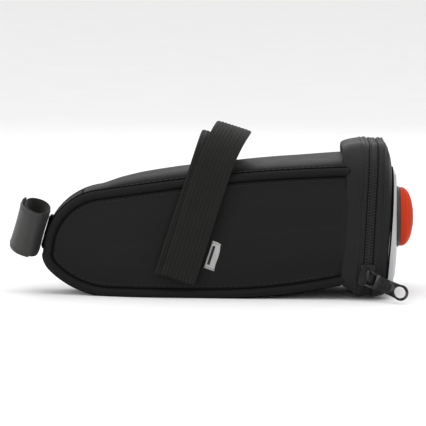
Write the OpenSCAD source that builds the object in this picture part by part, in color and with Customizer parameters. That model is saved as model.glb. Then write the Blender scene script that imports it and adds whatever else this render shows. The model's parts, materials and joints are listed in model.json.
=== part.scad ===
// Wedge saddle bag: a tapered zip bag that hangs under a bicycle saddle.
// +X points to the rear light, -X to the seatpost strap and +Z up. The origin
// is on the mid-plane, at the middle of the flat patch of the belly. All in mm.

/* [Bag body] */
// Distance from the origin forward to the tip of the nose
nose_reach = 77; // [60:1:110]
// Distance from the origin back to the bottom edge of the mouth
mouth_reach = 89; // [75:1:120]
// Half the width of the bag at the nose
nose_half_w = 20; // [15:0.5:26]
// Half the width of the bag at the mouth
mouth_half_w = 36; // [28:0.5:37.5]
// Height of the nose tip above the belly
nose_z = 24; // [20:0.5:28]
// Radius of the upper curve of the nose
nose_r = 38; // [30:0.5:42]
// Radius of the tight bend at the nose tip
nose_tip_r = 14; // [8:0.5:18]
// Slope of the side panels' top edge, in degrees
top_slope = 5.2; // [2:0.1:6]
// Height the belly has risen to at the mouth
belly_rise = 8.2; // [5:0.1:12]
// Length of the flat patch behind the origin
flat_rear = 15; // [8:1:30]
// Thickness of the padded side panels
side_t = 2.4; // [1.5:0.1:3.5]
// Width of the padded rim that runs round each side panel
rim_w = 5.5; // [4:0.1:8]
// How far the rim stands out from the side panel
rim_out = 0.8; // [0.4:0.1:1.5]
// Thickness of the top panel
top_t = 1.6; // [1:0.1:2.5]
// Radius across the crown of the top panel
crown_r = 108; // [90:1:200]
// Height of the crown above the side panels at the mouth
crown_rise = 5.8; // [4:0.1:7]
// Thickness of the belly panel
belly_t = 2; // [1.2:0.1:3]
// Thickness of the stiffening board in the belly
board_t = 1; // [0.8:0.1:2]

/* [Mouth and lid] */
// Half the width of the padded band round the mouth
band_half_w = 40; // [36:0.5:46]
// Height of the band
band_h = 85.5; // [84:0.5:105]
// Radius of the band's upper corners
band_top_r = 22; // [15:0.5:28]
// Radius of the band's lower corners
band_low_r = 10; // [8:0.5:14]
// Thickness of the band's wall
band_t = 1.4; // [1:0.1:2.5]
// Lean of the mouth to the rear, in degrees
mouth_lean = 3; // [0:0.5:6]
// Width of the front half of the band, from the mouth seam to the zip
front_band_w = 12.4; // [9:0.1:16]
// Width of the gap between the two halves of the band
zip_gap = 5.2; // [4.6:0.1:7]
// Distance from the origin back to the rear panel's inner board
rear_reach = 117.6; // [110:0.1:150]
// Thickness of the rear board
rear_board_t = 2; // [1:0.1:3]
// Thickness of the reflective pad at its middle
pad_t = 2.6; // [2:0.1:4]
// Thickness of the reflective pad at its top and bottom edges
pad_edge_t = 1.1; // [0.6:0.1:1.8]

/* [Zip] */
// Thickness of the zip tapes
tape_t = 0.8; // [0.5:0.1:1.2]
// Width of each half of the zip coil
coil_w = 1.6; // [1.2:0.1:2]
// Half the slit that the slider's post runs in
slit_half = 0.8; // [0.7:0.05:1]
// Height up the band at which the coil starts
zip_start = 10.5; // [10:0.5:14]
// Height up the band of the slider's middle, with the zip closed
slider_h = 13.5; // [13:0.5:16]
// Length of the slider
slider_len = 12; // [10:0.5:13]
// Width of the slider's wide end
slider_w = 10; // [8:0.5:12]
// Radius of the slider's bail, to the middle of the wire
bail_r = 3.4; // [3.2:0.1:3.6]
// Thickness of the bail's wire
bail_wire = 1.3; // [1:0.1:1.5]
// Length of the puller
puller_len = 26.5; // [22:0.5:28]
// Width of the puller
puller_w = 8.8; // [8.4:0.1:10]
// Thickness of the puller
puller_t = 1.1; // [0.9:0.1:1.3]

/* [Rail straps] */
// Width of the webbing
web_w = 20; // [16:0.5:25]
// Thickness of the webbing
web_t = 1.6; // [1.2:0.1:2]
// Lean of the straps to the rear, in degrees
web_lean = 18; // [0:1:22]
// Height of the lower strap's top, above the belly
web_top = 88.5; // [84:0.5:100]
// How far the upper strap stands above the lower one at the top
web_rise = 5; // [3:0.1:8]
// Height of the straps' lower ends
web_low = 11; // [8:0.5:20]
// How far the upper strap runs to the rear as it crosses over
web_cross = 3; // [0:1:12]
// How far the upper strap swings to the rear at its top
web_swing = 3.5; // [0:0.5:6]
// How far the lower strap shows in front of the upper one on the left
web_peep = 3.5; // [0:0.5:6]

/* [Seatpost strap] */
// Width of the hook and loop strap
post_w = 25; // [20:0.5:28]
// Thickness of the hook and loop strap
post_t = 1.6; // [1.2:0.1:2]
// Length of the strap's loop, out from the nose
post_deep = 14; // [13:0.5:30]
// Width of the strap's loop
post_wide = 25; // [20:0.5:36]
// Lean of the loop to the rear, in degrees
post_lean = 16; // [8:1:20]

/* [Rear light] */
// Radius of the light
light_r = 16.6; // [15.5:0.1:20]
// Height of the light's middle above the belly
light_z = 43; // [38:0.5:52]
// Depth of the red lens
lens_h = 7.4; // [6.5:0.1:9]
// Wall of the lens
lens_t = 1.4; // [1:0.1:2]
// Radius of the push button
button_r = 4.6; // [3.5:0.1:5]
// Travel of the push button
button_travel = 0.8; // [0.5:0.1:1]

/* [Hidden] */
$fn = 64;

fabric = "#232323";
satin = "#606060";
webbing = "#2e2e2b";
steel = "#777777";
red = "#d8432a";
clear = 0.35;          // gap between soft pieces that move past each other
far = 300;             // longer than any piece
curve_steps = 10;      // straight steps in each rounded stretch of an outline
zip_mid = front_band_w + zip_gap / 2;
pad_x = rear_reach + rear_board_t;
light_x = pad_x + pad_t - 0.5;
flange_t = 2.2;
lens_x = light_x + flange_t;
pot_r = 13.5;
pot_wall = 1.3;
pot_x = rear_reach - 4.6;
mouth_z = (rear_reach + rear_board_t - mouth_reach) * sin(mouth_lean) + 0.2;
taper = (mouth_half_w - nose_half_w) / (nose_reach + mouth_reach);

// Half width of the bag at a distance behind the origin
function half_w(x) = nose_half_w + (x + nose_reach) * taper;

// Points along an arc, from one angle to another
function arc(cx, cz, r, from, to) = [
    for (i = [0:curve_steps])
        let (a = from + (to - from) * i / curve_steps)
        [cx + r * cos(a), cz + r * sin(a)]
];

// Outline of the bag from the side, drawn in by a margin and run past the mouth
tip_bend = 45;
low_r = (nose_z - nose_tip_r * sin(tip_bend)) / (1 - cos(tip_bend));
low_x = -nose_reach + nose_tip_r * (1 - cos(tip_bend)) + low_r * sin(tip_bend);
belly_r = (pow(mouth_reach - flat_rear, 2) + pow(belly_rise, 2)) / (2 * belly_rise);
belly_end = asin((mouth_reach + 20 - flat_rear) / belly_r);
nose_top_x = nose_r - nose_reach - nose_r * sin(top_slope);
nose_top_z = nose_z + nose_r * cos(top_slope);
function top_z(x) = nose_top_z + (x - nose_top_x) * tan(top_slope);
function side_outline(margin) = concat(
    [[mouth_reach + 20, top_z(mouth_reach + 20) - margin / cos(top_slope)]],
    arc(nose_r - nose_reach, nose_z, nose_r - margin, 90 + top_slope, 180),
    arc(nose_tip_r - nose_reach, nose_z, nose_tip_r - margin, 180, 180 + tip_bend),
    arc(low_x, low_r, low_r - margin, 180 + tip_bend, 270),
    arc(flat_rear, belly_r, belly_r - margin, 270, 270 + belly_end)
);

// Outline of the band from behind, drawn in by a margin
function band_outline(margin) = let (
    wide = band_half_w,
    low = band_low_r,
    high = band_top_r
) concat(
    arc(wide - low, low, low - margin, -90, 0),
    arc(wide - high, band_h - high, high - margin, 0, 90),
    arc(high - wide, band_h - high, high - margin, 90, 180),
    arc(low - wide, low, low - margin, 180, 270)
);

// The bag's outline as a block right across the bag
module outline_block(margin) {
    translate([0, far / 2, 0])
        rotate([90, 0, 0])
            linear_extrude(far)
                polygon(side_outline(margin));
}

// A block across the bag between two offsets from the tapered sides' faces
module between_sides(inset) {
    x0 = -nose_reach - 10;
    x1 = mouth_reach + 30;
    translate([0, 0, -far / 2])
        linear_extrude(far)
            polygon([
                [x0, inset - half_w(x0)],
                [x1, inset - half_w(x1)],
                [x1, half_w(x1) - inset],
                [x0, half_w(x0) - inset]
            ]);
}

// A slab on one side of the bag; side is -1 for left and 1 for right
module side_slab(side, inner, outer) {
    x0 = -nose_reach - 10;
    x1 = mouth_reach + 30;
    translate([0, 0, -far / 2])
        linear_extrude(far)
            polygon([
                [x0, side * (half_w(x0) + inner)],
                [x1, side * (half_w(x1) + inner)],
                [x1, side * (half_w(x1) + outer)],
                [x0, side * (half_w(x0) + outer)]
            ]);
}

// Frame of the mouth: X back through the lid, Z up along the mouth's lean
module at_mouth() {
    translate([mouth_reach, 0, mouth_z])
        rotate([0, mouth_lean, 0])
            children();
}

// Everything behind the mouth
module behind_mouth() {
    at_mouth()
        translate([0, -far / 2, -far / 2])
            cube(far);
}

// A block with the band's outline, from one depth to another
module band_block(front, back, margin) {
    at_mouth()
        translate([front, 0, 0])
            rotate([90, 0, 90])
                linear_extrude(back - front)
                    polygon(band_outline(margin));
}

module band_ring(front, back, outer, inner) {
    difference() {
        band_block(front, back, outer);
        band_block(front - 1, back + 1, inner);
    }
}

// What lies above the start of the zip
module above_zip_start(height) {
    at_mouth()
        translate([-far / 2, -far / 2, height])
            cube(far);
}

module behind(x) {
    translate([x, -far / 2, -far / 2])
        cube(far);
}

// Frame of the light: Z points to the rear, at the light's middle
module at_light(x) {
    translate([x, 0, light_z])
        rotate([0, 90, 0])
            children();
}

// ---- Bag body ----

module side_panel(side) {
    difference() {
        intersection() {
            outline_block(rim_w);
            side_slab(side, -side_t, 0);
        }
        behind_mouth();
    }
}

module rim(side) {
    difference() {
        intersection() {
            outline_block(0);
            side_slab(side, -side_t, rim_out);
        }
        outline_block(rim_w);
        behind_mouth();
    }
}

module side_panel_left() { color(fabric) side_panel(-1); }
module side_panel_right() { color(fabric) side_panel(1); }
module rim_left() { color(fabric) rim(-1); }
module rim_right() { color(fabric) rim(1); }

crown_front_x = nose_r - nose_reach;
crown_top_front = top_z(crown_front_x) + pow(half_w(crown_front_x), 2) / (2 * crown_r);
crown_top_rear = top_z(mouth_reach) + crown_rise;
crown_slope = atan((crown_top_rear - crown_top_front) / (mouth_reach - crown_front_x));

// Round block under the crown, drawn in by a margin
module crown_block(margin) {
    translate([crown_front_x, 0, crown_top_front])
        rotate([0, 90 - crown_slope, 0])
            translate([crown_r, 0, 0])
                cylinder(r = crown_r - margin, h = far, $fn = 128);
}

// The wall that wraps under the belly and up round the nose
module belly_wall() {
    difference() {
        intersection() {
            outline_block(0);
            between_sides(side_t);
        }
        outline_block(belly_t);
        behind_mouth();
        translate([crown_front_x + 8, -far / 2, nose_z])
            cube(far);
    }
}

module top_panel() {
    color(satin)
    difference() {
        intersection() {
            crown_block(0);
            between_sides(side_t);
            translate([crown_front_x, -far / 2, nose_top_z - 10])
                cube(far);
        }
        crown_block(top_t);
        behind_mouth();
        belly_wall();
    }
}

module belly_panel() { color(fabric) belly_wall(); }

board_front = -45;
board_gap = 3;
module belly_board() {
    color("#3a3a3a")
    difference() {
        intersection() {
            outline_block(belly_t);
            between_sides(side_t + board_gap);
            translate([board_front, -far / 2, -far / 2])
                cube([mouth_reach - 4 - board_front, far, far / 2 + nose_z]);
        }
        outline_block(belly_t + board_t);
    }
}

label_len = 16;
label_w = 6;
label_t = 0.5;
label_x = 19;
label_z = 24;
module label() {
    color("#d8d8d4")
    intersection() {
        side_slab(-1, 0, label_t);
        translate([label_x, 0, label_z])
            rotate([0, web_lean, 0])
                translate([-label_w / 2, -far, -label_len / 2])
                    cube([label_w, far, label_len]);
    }
}

// ---- Mouth, zip and hinge ----

// Hollow of the bag at the mouth
module bag_hollow() {
    intersection() {
        between_sides(side_t);
        union() {
            intersection() {
                outline_block(belly_t);
                translate([-far / 2, -far / 2, -far + nose_top_z])
                    cube(far);
            }
            intersection() {
                crown_block(top_t);
                translate([-far / 2, -far / 2, nose_top_z - 1])
                    cube(far);
            }
        }
    }
}

plate_t = 2;
module front_band() {
    color(fabric) {
        difference() {
            band_block(0, front_band_w, 0);
            band_block(plate_t, front_band_w + 1, band_t);
            bag_hollow();
        }
    }
}

lid_front = front_band_w + zip_gap;
module lid_band() {
    color(fabric)
    difference() {
        band_ring(lid_front, lid_front + 30, 0, band_t);
        behind(pad_x);
    }
}

// Closed foot of the zip: the fabric that the lid folds down on
hinge_gap = 0.4;
module hinge_strip() {
    color(fabric)
    difference() {
        band_ring(front_band_w, lid_front - hinge_gap, 0, 1.2);
        above_zip_start(zip_start - 2.4);
    }
}

seam_w = 5;
module zip_tape_front() {
    color(fabric)
    intersection() {
        band_ring(front_band_w - seam_w, zip_mid - slit_half, band_t, band_t + tape_t);
        above_zip_start(zip_start - 2);
    }
}

module zip_tape_lid() {
    color(fabric)
    intersection() {
        band_ring(zip_mid + slit_half, lid_front + seam_w, band_t, band_t + tape_t);
        above_zip_start(zip_start - 2);
    }
}

coil_sink = 0.2;
module zip_coil_front() {
    color("#1c1c1c")
    intersection() {
        band_ring(zip_mid - slit_half - coil_w, zip_mid - slit_half, coil_sink, band_t);
        above_zip_start(zip_start);
    }
}

module zip_coil_lid() {
    color("#1c1c1c")
    intersection() {
        band_ring(zip_mid + slit_half, zip_mid + slit_half + coil_w, coil_sink, band_t);
        above_zip_start(zip_start);
    }
}

// A metal stop closed over each end of a coil
module zip_stop_pair(front) {
    intersection() {
        band_ring(front, front + coil_w, coil_sink, band_t);
        difference() {
            above_zip_start(zip_start - 1.8);
            above_zip_start(zip_start);
        }
    }
}

module zip_stops_front() { color(steel) zip_stop_pair(zip_mid - slit_half - coil_w); }
module zip_stops_lid() { color(steel) zip_stop_pair(zip_mid + slit_half); }

// Frame of the slider: Y outward is minus, Z up along the zip
module at_slider() {
    at_mouth()
        translate([zip_mid, -band_half_w, slider_h])
            children();
}

slider_t = 1.3;
slider_narrow = 7.6;
post_half = 0.45;
module slider_plate(outer_y, thick) {
    half = slider_len / 2;
    translate([0, outer_y + thick, 0])
        rotate([90, 0, 0])
            linear_extrude(thick)
                polygon([
                    [-slider_w / 2, -half + 2],
                    [-slider_w / 2 + 2, -half],
                    [slider_w / 2 - 2, -half],
                    [slider_w / 2, -half + 2],
                    [slider_narrow / 2, half],
                    [-slider_narrow / 2, half]
                ]);
}

module zip_slider() {
    inside_y = band_t + tape_t + clear;
    color(steel)
    at_slider() {
        slider_plate(-clear - slider_t, slider_t);
        slider_plate(inside_y, 1);
        translate([-post_half, -clear - 0.1, 0])
            cube([2 * post_half, inside_y + clear + 0.2, 4]);
        translate([0, 0.3 - clear - slider_t, 0])
            rotate([90, 0, 90])
                rotate([0, 0, 180])
                    rotate_extrude(angle = 180)
                        translate([bail_r, 0])
                            circle(d = bail_wire, $fn = 24);
    }
}

// The puller hangs aslant on the bail: swing is its turn about the zip's face,
// and lift is its angle off that face
puller_swing = 28;
puller_lift = 30;
puller_pivot = 1.3;    // height of the puller's bar above the slider's plate
eye_half = 3.4;
eye_len = 6.4;
module zip_puller() {
    bar = 1.1;
    tip_r = puller_w / 2;
    color(steel)
    at_slider()
        translate([0, -clear - slider_t - puller_pivot, 0])
            rotate([0, puller_swing, 0])
                rotate([0, 0, -puller_lift])
                    translate([0, puller_t / 2, 0])
                        rotate([90, 0, 0])
                            linear_extrude(puller_t)
                                difference() {
                                    union() {
                                        translate([-bar / 2, -puller_w / 2])
                                            square([eye_len + 2, puller_w]);
                                        translate([0, -puller_w / 2 + 0.9])
                                            square([puller_len - tip_r, puller_w - 1.8]);
                                        translate([puller_len - tip_r, 0])
                                            circle(r = tip_r);
                                    }
                                    translate([bar / 2, -eye_half])
                                        square([eye_len - bar, 2 * eye_half]);
                                    translate([puller_len - tip_r - 3, 0])
                                        circle(r = 2.4);
                                    translate([puller_len - tip_r, 0])
                                        circle(r = 2.4);
                                    translate([puller_len - tip_r - 3, -2.4])
                                        square([3, 4.8]);
                                }
}

// ---- Rear panel and light ----

hole_gap = 0.3;
module pot_hole() {
    at_light(rear_reach - 10)
        cylinder(r = pot_r + hole_gap, h = 30);
}

module rear_board() {
    color("#2c2c2c")
    difference() {
        band_block(lid_front, lid_front + 30, band_t + 0.1);
        behind(pad_x);
        translate([rear_reach - far, -far / 2, -far / 2])
            cube(far);
        pot_hole();
    }
}

pad_sag = pad_t - pad_edge_t;
pad_r = (pow(band_h / 2, 2) + pow(pad_sag, 2)) / (2 * pad_sag);
crown_half = asin((band_h / 2 + 1) / pad_r);
pad_crown = concat(
    [[pad_x, -1]],
    arc(pad_x + pad_t - pad_r, band_h / 2, pad_r, -crown_half, crown_half),
    [[pad_x, band_h + 1]]
);

module reflective_pad() {
    color("#9a9c9e")
    difference() {
        intersection() {
            band_block(lid_front, lid_front + 40, 0.6);
            translate([0, far / 2, 0])
                rotate([90, 0, 0])
                    linear_extrude(far)
                        polygon(pad_crown);
        }
        pot_hole();
        at_light(light_x)
            cylinder(r = light_r + 0.4, h = 20);
    }
}

ledge_x = rear_reach + 1.4;
module light_housing() {
    color("#191919") {
        at_light(light_x)
            difference() {
                cylinder(r = light_r, h = flange_t);
                translate([0, 0, -1])
                    cylinder(r = pot_r - pot_wall, h = flange_t + 2);
            }
        at_light(pot_x)
            difference() {
                cylinder(r = pot_r, h = light_x - pot_x);
                translate([0, 0, -1])
                    cylinder(r = pot_r - pot_wall, h = light_x - pot_x + 2);
            }
        at_light(ledge_x - 1)
            difference() {
                cylinder(r = pot_r - pot_wall + 0.1, h = 1);
                translate([0, 0, -1])
                    cylinder(r = 10.6, h = 3);
            }
    }
}

nut_t = 2;
module light_ring_nut() {
    color("#191919")
    at_light(rear_reach - nut_t)
        difference() {
            cylinder(r = pot_r + 4.2, h = nut_t);
            translate([0, 0, -1])
                cylinder(r = pot_r + 0.1, h = nut_t + 2);
        }
}

module light_lens() {
    edge_r = 4;
    inner_r = light_r - lens_t;
    hole_r = button_r + 0.15;
    color(red)
    at_light(lens_x)
        rotate_extrude()
            difference() {
                union() {
                    square([light_r - edge_r, lens_h]);
                    square([light_r, lens_h - edge_r]);
                    translate([light_r - edge_r, lens_h - edge_r])
                        circle(r = edge_r);
                }
                translate([-1, -1])
                    square([inner_r - edge_r + lens_t + 1, lens_h - lens_t + 1]);
                translate([-1, -1])
                    square([inner_r + 1, lens_h - edge_r + 1]);
                translate([light_r - edge_r, lens_h - edge_r])
                    circle(r = edge_r - lens_t);
                translate([-1, -1])
                    square([hole_r + 1, lens_h + 2]);
            }
}

button_top = 0.5;
switch_top = 4.2;
pcb_t = 1;
module light_button() {
    shelf = 1;
    lid_under = lens_x + lens_h - lens_t;
    stem_x = ledge_x + pcb_t + switch_top + button_travel + 0.1;
    color("#7d1f16") {
        at_light(lid_under - 0.1 - shelf)
            cylinder(r = button_r + 1.2, h = shelf);
        at_light(lid_under - 0.2)
            cylinder(r = button_r, h = lens_t + button_top + 0.2);
        at_light(stem_x)
            cylinder(r = 1.5, h = lid_under - 0.5 - stem_x);
    }
}

module light_board() {
    color("#1f6b3a")
    at_light(ledge_x)
        cylinder(r = pot_r - pot_wall - 0.2, h = pcb_t);
}

led_ring = 8.6;
module light_leds() {
    color("#e8b8b0")
    at_light(ledge_x + pcb_t)
        for (i = [0:2])
            rotate([0, 0, 60 + 120 * i])
                translate([led_ring, 0, 0]) {
                    cylinder(d = 5.6, h = 1);
                    cylinder(d = 4.8, h = 3);
                    translate([0, 0, 3])
                        sphere(d = 4.8, $fn = 32);
                }
}

module light_switch() {
    color("#404040")
    at_light(ledge_x + pcb_t) {
        translate([-3, -3, 0])
            cube([6, 6, 3.2]);
        cylinder(d = 3, h = switch_top);
    }
}

cell_r = 10;
cell_t = 3.2;
cell_x = pot_x + 1.3;
module battery() {
    color("#b9bcc0")
    at_light(cell_x)
        cylinder(r = cell_r, h = cell_t);
}

module battery_contact() {
    color("#c9a24a")
    at_light(cell_x + cell_t)
        translate([-6, -2.5, 0])
            cube([12, 5, ledge_x - cell_x - cell_t]);
}

door_t = 1.2;
screw_ring = 11.2;
module battery_door() {
    color("#191919")
    at_light(pot_x)
        difference() {
            cylinder(r = pot_r - pot_wall - 0.1, h = door_t);
            for (i = [0:1])
                rotate([0, 0, 90 + 180 * i])
                    translate([screw_ring, 0, -1])
                        cylinder(d = 1.4, h = door_t + 2);
        }
}

module battery_door_screws() {
    color(steel)
    at_light(pot_x)
        for (i = [0:1])
            rotate([0, 0, 90 + 180 * i])
                translate([screw_ring, 0, -0.7]) {
                    cylinder(d = 1.3, h = 0.7 + door_t);
                    cylinder(d = 2, h = 0.7);
                }
}

// ---- Straps ----

function unit(v) = v / norm(v);

// A flat ribbon swept along a path; width_dirs point across it at each point
module ribbon(path, width_dirs, width, thick) {
    n = len(path);
    tangent = [for (i = [0:n - 1]) unit(path[min(i + 1, n - 1)] - path[max(i - 1, 0)])];
    across = [for (i = [0:n - 1])
        unit(width_dirs[i] - (width_dirs[i] * tangent[i]) * tangent[i])];
    normal = [for (i = [0:n - 1]) cross(tangent[i], across[i])];
    corners = [for (i = [0:n - 1], s = [[1, 1], [-1, 1], [-1, -1], [1, -1]])
        path[i] + across[i] * s[0] * width / 2 + normal[i] * s[1] * thick / 2];
    walls = [for (i = [0:n - 2], k = [0:3])
        let (a = 4 * i + k, b = 4 * i + (k + 1) % 4)
        each [[a, b + 4, b], [a, a + 4, b + 4]]];
    polyhedron(
        points = corners,
        faces = concat(walls, [[0, 1, 2], [0, 2, 3]],
            [[4 * n - 4, 4 * n - 2, 4 * n - 3], [4 * n - 4, 4 * n - 1, 4 * n - 2]])
    );
}

web_low_x = -1;
web_round = 2.5;       // squareness of the straps' arch
arch_steps = 14;
leg_steps = 4;

// Height at which the straps' legs reach the top edge of the sides
web_edge_x = web_low_x - web_low * tan(web_lean) + web_w / 2;
web_leg_top = (nose_top_z + (web_edge_x - nose_top_x) * tan(top_slope))
    / (1 - tan(top_slope) * tan(web_lean)) + 1;

// Middle of a strap's leg at a height, and its distance from the mid-plane.
// Layer 0 is the lower strap; side is -1 on the left and 1 on the right
function web_shift(layer, side) = side > 0 ? layer * web_cross : (layer - 1) * web_peep;
function web_x(z, shift) = web_low_x + (z - web_low) * tan(web_lean) + shift;
function web_leg_y(z, layer, side) = half_w(web_x(z, web_shift(layer, side)))
    + rim_out + clear + web_t / 2 + layer * (web_t + clear);

// Leg of a strap, from one height to another
function web_leg(layer, side, from, to) = [
    for (i = [0:leg_steps])
        let (z = from + (to - from) * i / leg_steps)
        [web_x(z, web_shift(layer, side)), side * web_leg_y(z, layer, side), z]
];

// Half of a strap's arch over the bag, from its foot at the side to its top
function web_arch(layer, side) = [
    for (i = [0:arch_steps])
        let (
            a = 90 * i / arch_steps,
            rise = web_top + layer * web_rise - web_leg_top,
            z = web_leg_top + rise * pow(sin(a), 2 / web_round),
            part = side * pow(max(cos(a), 0), 2 / web_round)
        )
        [web_x(z, web_shift(layer, 1) * (1 + part) / 2 + web_shift(layer, -1) * (1 - part) / 2
            + layer * web_swing * (1 - part * part)),
         web_leg_y(web_leg_top, layer, side) * part, z]
];

// Direction across a strap: aslant, and along the tapered sides on its legs
function web_dirs(path) = [
    for (p = path)
        [cos(web_lean), taper * max(-1, min(1, p[1] / 20)), -sin(web_lean)]
];

function reversed(list) = [for (i = [len(list) - 1:-1:0]) list[i]];
function skip_last(list) = [for (i = [0:len(list) - 2]) list[i]];

module web_strap(path) {
    ribbon(path, web_dirs(path), web_w, web_t);
}

// A strap from its lower end on the left, over the bag, to its end on the right
module web_loop(layer, left_end, right_end) {
    web_strap(concat(
        skip_last(web_leg(layer, -1, left_end, web_leg_top)),
        web_arch(layer, -1),
        reversed(skip_last(web_arch(layer, 1))),
        reversed(skip_last(web_leg(layer, 1, right_end, web_leg_top)))
    ));
}

strap_end_right = 30;  // height of the lower strap's free end
tab_top = 60;          // height of the fold where the upper strap's tab lifts
tab_slit = 0.3;

module strap_lower() { color(webbing) web_loop(0, web_low, strap_end_right); }
module strap_upper() { color(webbing) web_loop(1, tab_top, web_low); }
module strap_upper_tab() {
    color(webbing) web_strap(web_leg(1, -1, web_low, tab_top - tab_slit));
}

pad_h = 12;
pad_z = web_low + 1;
module strap_pad(side, depth, x) {
    intersection() {
        side_slab(side, 0, depth);
        translate([x, 0, pad_z])
            rotate([0, web_lean, 0])
                translate([-web_w / 2 + 2, -far / 2, 0])
                    cube([web_w - 4, far, pad_h]);
        outline_block(rim_w + 0.4);
    }
}

module strap_pads() {
    color(webbing) {
        strap_pad(-1, rim_out + clear - 0.1, web_x(pad_z, web_shift(0, -1)));
        strap_pad(1, rim_out + 2 * clear + web_t - 0.1, web_x(pad_z, web_cross));
    }
}

// The seatpost strap's loop lies in a plane square to the post
post_z = 35;
post_back = 0.6;
loop_steps = 40;
loop_out = [-cos(post_lean), 0, sin(post_lean)];
loop_axis = [sin(post_lean), 0, cos(post_lean)];
nose_at_post = nose_r - nose_reach - sqrt(pow(nose_r, 2) - pow(post_z - nose_z, 2));
loop_start = [nose_at_post - post_back - post_t / 2, 0, post_z];

// Place on the loop, at an angle from its front, drawn out by a margin
function loop_point(a, margin) = loop_start
    + loop_out * (post_deep / 2 + (post_deep / 2 + margin) * cos(a))
    + [0, (post_wide / 2 + margin) * sin(a), 0];

function loop_path(from, to, margin) = [
    for (i = [0:loop_steps]) loop_point(from + (to - from) * i / loop_steps, margin)
];

module loop_ribbon(from, to, margin) {
    path = loop_path(from, to, margin);
    ribbon(path, [for (p = path) loop_axis], post_w, post_t);
}

module seatpost_strap() {
    color("#4a4a48") loop_ribbon(179, -179, 0);
}

tab_from = 40;
tab_to = -100;
module seatpost_strap_tab() {
    color("#4a4a48") loop_ribbon(tab_from, tab_to, post_t + clear);
}

module seatpost_anchor() {
    anchor_h = 20;
    color(fabric)
    difference() {
        translate(loop_start)
            rotate([0, post_lean, 0])
                translate([post_t / 2 + 0.05, -4, -anchor_h / 2])
                    cube([6, 8, anchor_h]);
        outline_block(0);
    }
}

side_panel_left();
side_panel_right();
rim_left();
rim_right();
top_panel();
belly_panel();
belly_board();
label();
front_band();
hinge_strip();
zip_tape_front();
zip_coil_front();
zip_stops_front();
zip_slider();
zip_puller();
zip_tape_lid();
zip_coil_lid();
zip_stops_lid();
lid_band();
rear_board();
reflective_pad();
light_housing();
light_ring_nut();
light_lens();
light_button();
light_board();
light_leds();
light_switch();
battery();
battery_contact();
battery_door();
battery_door_screws();
strap_pads();
strap_lower();
strap_upper();
strap_upper_tab();
seatpost_anchor();
seatpost_strap();
seatpost_strap_tab();
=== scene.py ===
import json
import math

import bmesh
import bpy
import numpy as np
from mathutils import Matrix, Vector


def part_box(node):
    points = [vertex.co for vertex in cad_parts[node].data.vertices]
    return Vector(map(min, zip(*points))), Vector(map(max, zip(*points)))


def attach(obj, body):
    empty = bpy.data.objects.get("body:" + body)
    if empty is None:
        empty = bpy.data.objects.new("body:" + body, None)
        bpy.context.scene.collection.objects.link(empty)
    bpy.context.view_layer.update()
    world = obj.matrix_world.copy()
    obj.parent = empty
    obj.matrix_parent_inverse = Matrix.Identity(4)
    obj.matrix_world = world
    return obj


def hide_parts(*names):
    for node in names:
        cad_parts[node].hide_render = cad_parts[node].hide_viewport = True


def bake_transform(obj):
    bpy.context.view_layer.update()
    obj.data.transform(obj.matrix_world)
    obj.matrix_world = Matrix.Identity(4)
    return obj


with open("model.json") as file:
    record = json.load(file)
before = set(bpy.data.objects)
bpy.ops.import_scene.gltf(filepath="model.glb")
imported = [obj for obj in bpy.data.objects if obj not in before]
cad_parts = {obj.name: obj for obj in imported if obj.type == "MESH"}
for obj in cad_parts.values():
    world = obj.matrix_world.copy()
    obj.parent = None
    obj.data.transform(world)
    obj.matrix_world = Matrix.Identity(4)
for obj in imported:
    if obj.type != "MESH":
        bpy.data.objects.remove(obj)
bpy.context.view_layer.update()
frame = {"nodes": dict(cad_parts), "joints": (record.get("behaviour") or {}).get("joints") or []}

MM = 0.001
bpy.context.scene.view_settings.view_transform = "Standard"


# ---- Where the CAD bodies are, in millimetres ----

def node_box(node):
    low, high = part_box(node)
    return np.array(low) / MM, np.array(high) / MM


def joint_named(name):
    return next(joint for joint in frame["joints"] if joint["name"] == name)


def joint_place(name):
    return np.array(joint_named(name)["pos_m"]) / MM


def joint_axis(name):
    return np.array(joint_named(name)["axis"], float)


rim_low = node_box("rim_left")[0]
band_high = node_box("front_band")[1]
lid_high = node_box("lid_band")[1]
lens_low, lens_high = node_box("light_lens")
hinge = joint_place("lid_hinge")

zip_up = joint_axis("slider_travel")
mouth_lean = math.atan2(zip_up[0], zip_up[2])
mouth_back = np.array([math.cos(mouth_lean), 0, -math.sin(mouth_lean)])
mouth_foot = np.array([89.0, 0, 0])
mouth_foot[2] = hinge[2] + (hinge[0] - mouth_foot[0]) * math.tan(mouth_lean)
lid_start = (hinge[0] - mouth_foot[0]) / math.cos(mouth_lean) + 0.2
zip_middle = lid_start - 2.6
front_band_back = lid_start - 5.2
band_half = band_high[1]
band_height = 85.5
band_top_round = 22.0
band_foot_round = 10.0
lid_plane = lid_high[0]
light_middle = (lens_low + lens_high) / 2
light_radius = (lens_high[1] - lens_low[1]) / 2

nose_x = rim_low[0]
nose_middle = np.array([-40.5, 24.0])
nose_round = 35.8
tip_round = 14.0
top_slope = math.radians(5.95)
belly_middle = np.array([15.0, 338.0])
low_middle = np.array([-38.86, 48.14])


def smooth_step(value, low, high):
    share = np.clip((np.asarray(value, float) - low) / (high - low), 0, 1)
    return share * share * (3 - 2 * share)


NOSE_HALF_WIDTH = 20
MOUTH_WIDENING = 16
NOSE_DRAWN_IN = 7.5


def half_width(x):
    """Half the bag's width: an even taper, drawn in further round the nose."""
    taper = NOSE_HALF_WIDTH + (x - nose_x) * MOUTH_WIDENING / (mouth_foot[0] - nose_x)
    return taper - NOSE_DRAWN_IN * (1 - smooth_step(x, -68, -14))


def top_line(x):
    start = nose_middle + nose_round * np.array([-math.sin(top_slope), math.cos(top_slope)])
    return start[1] + (x - start[0]) * math.tan(top_slope)


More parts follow.
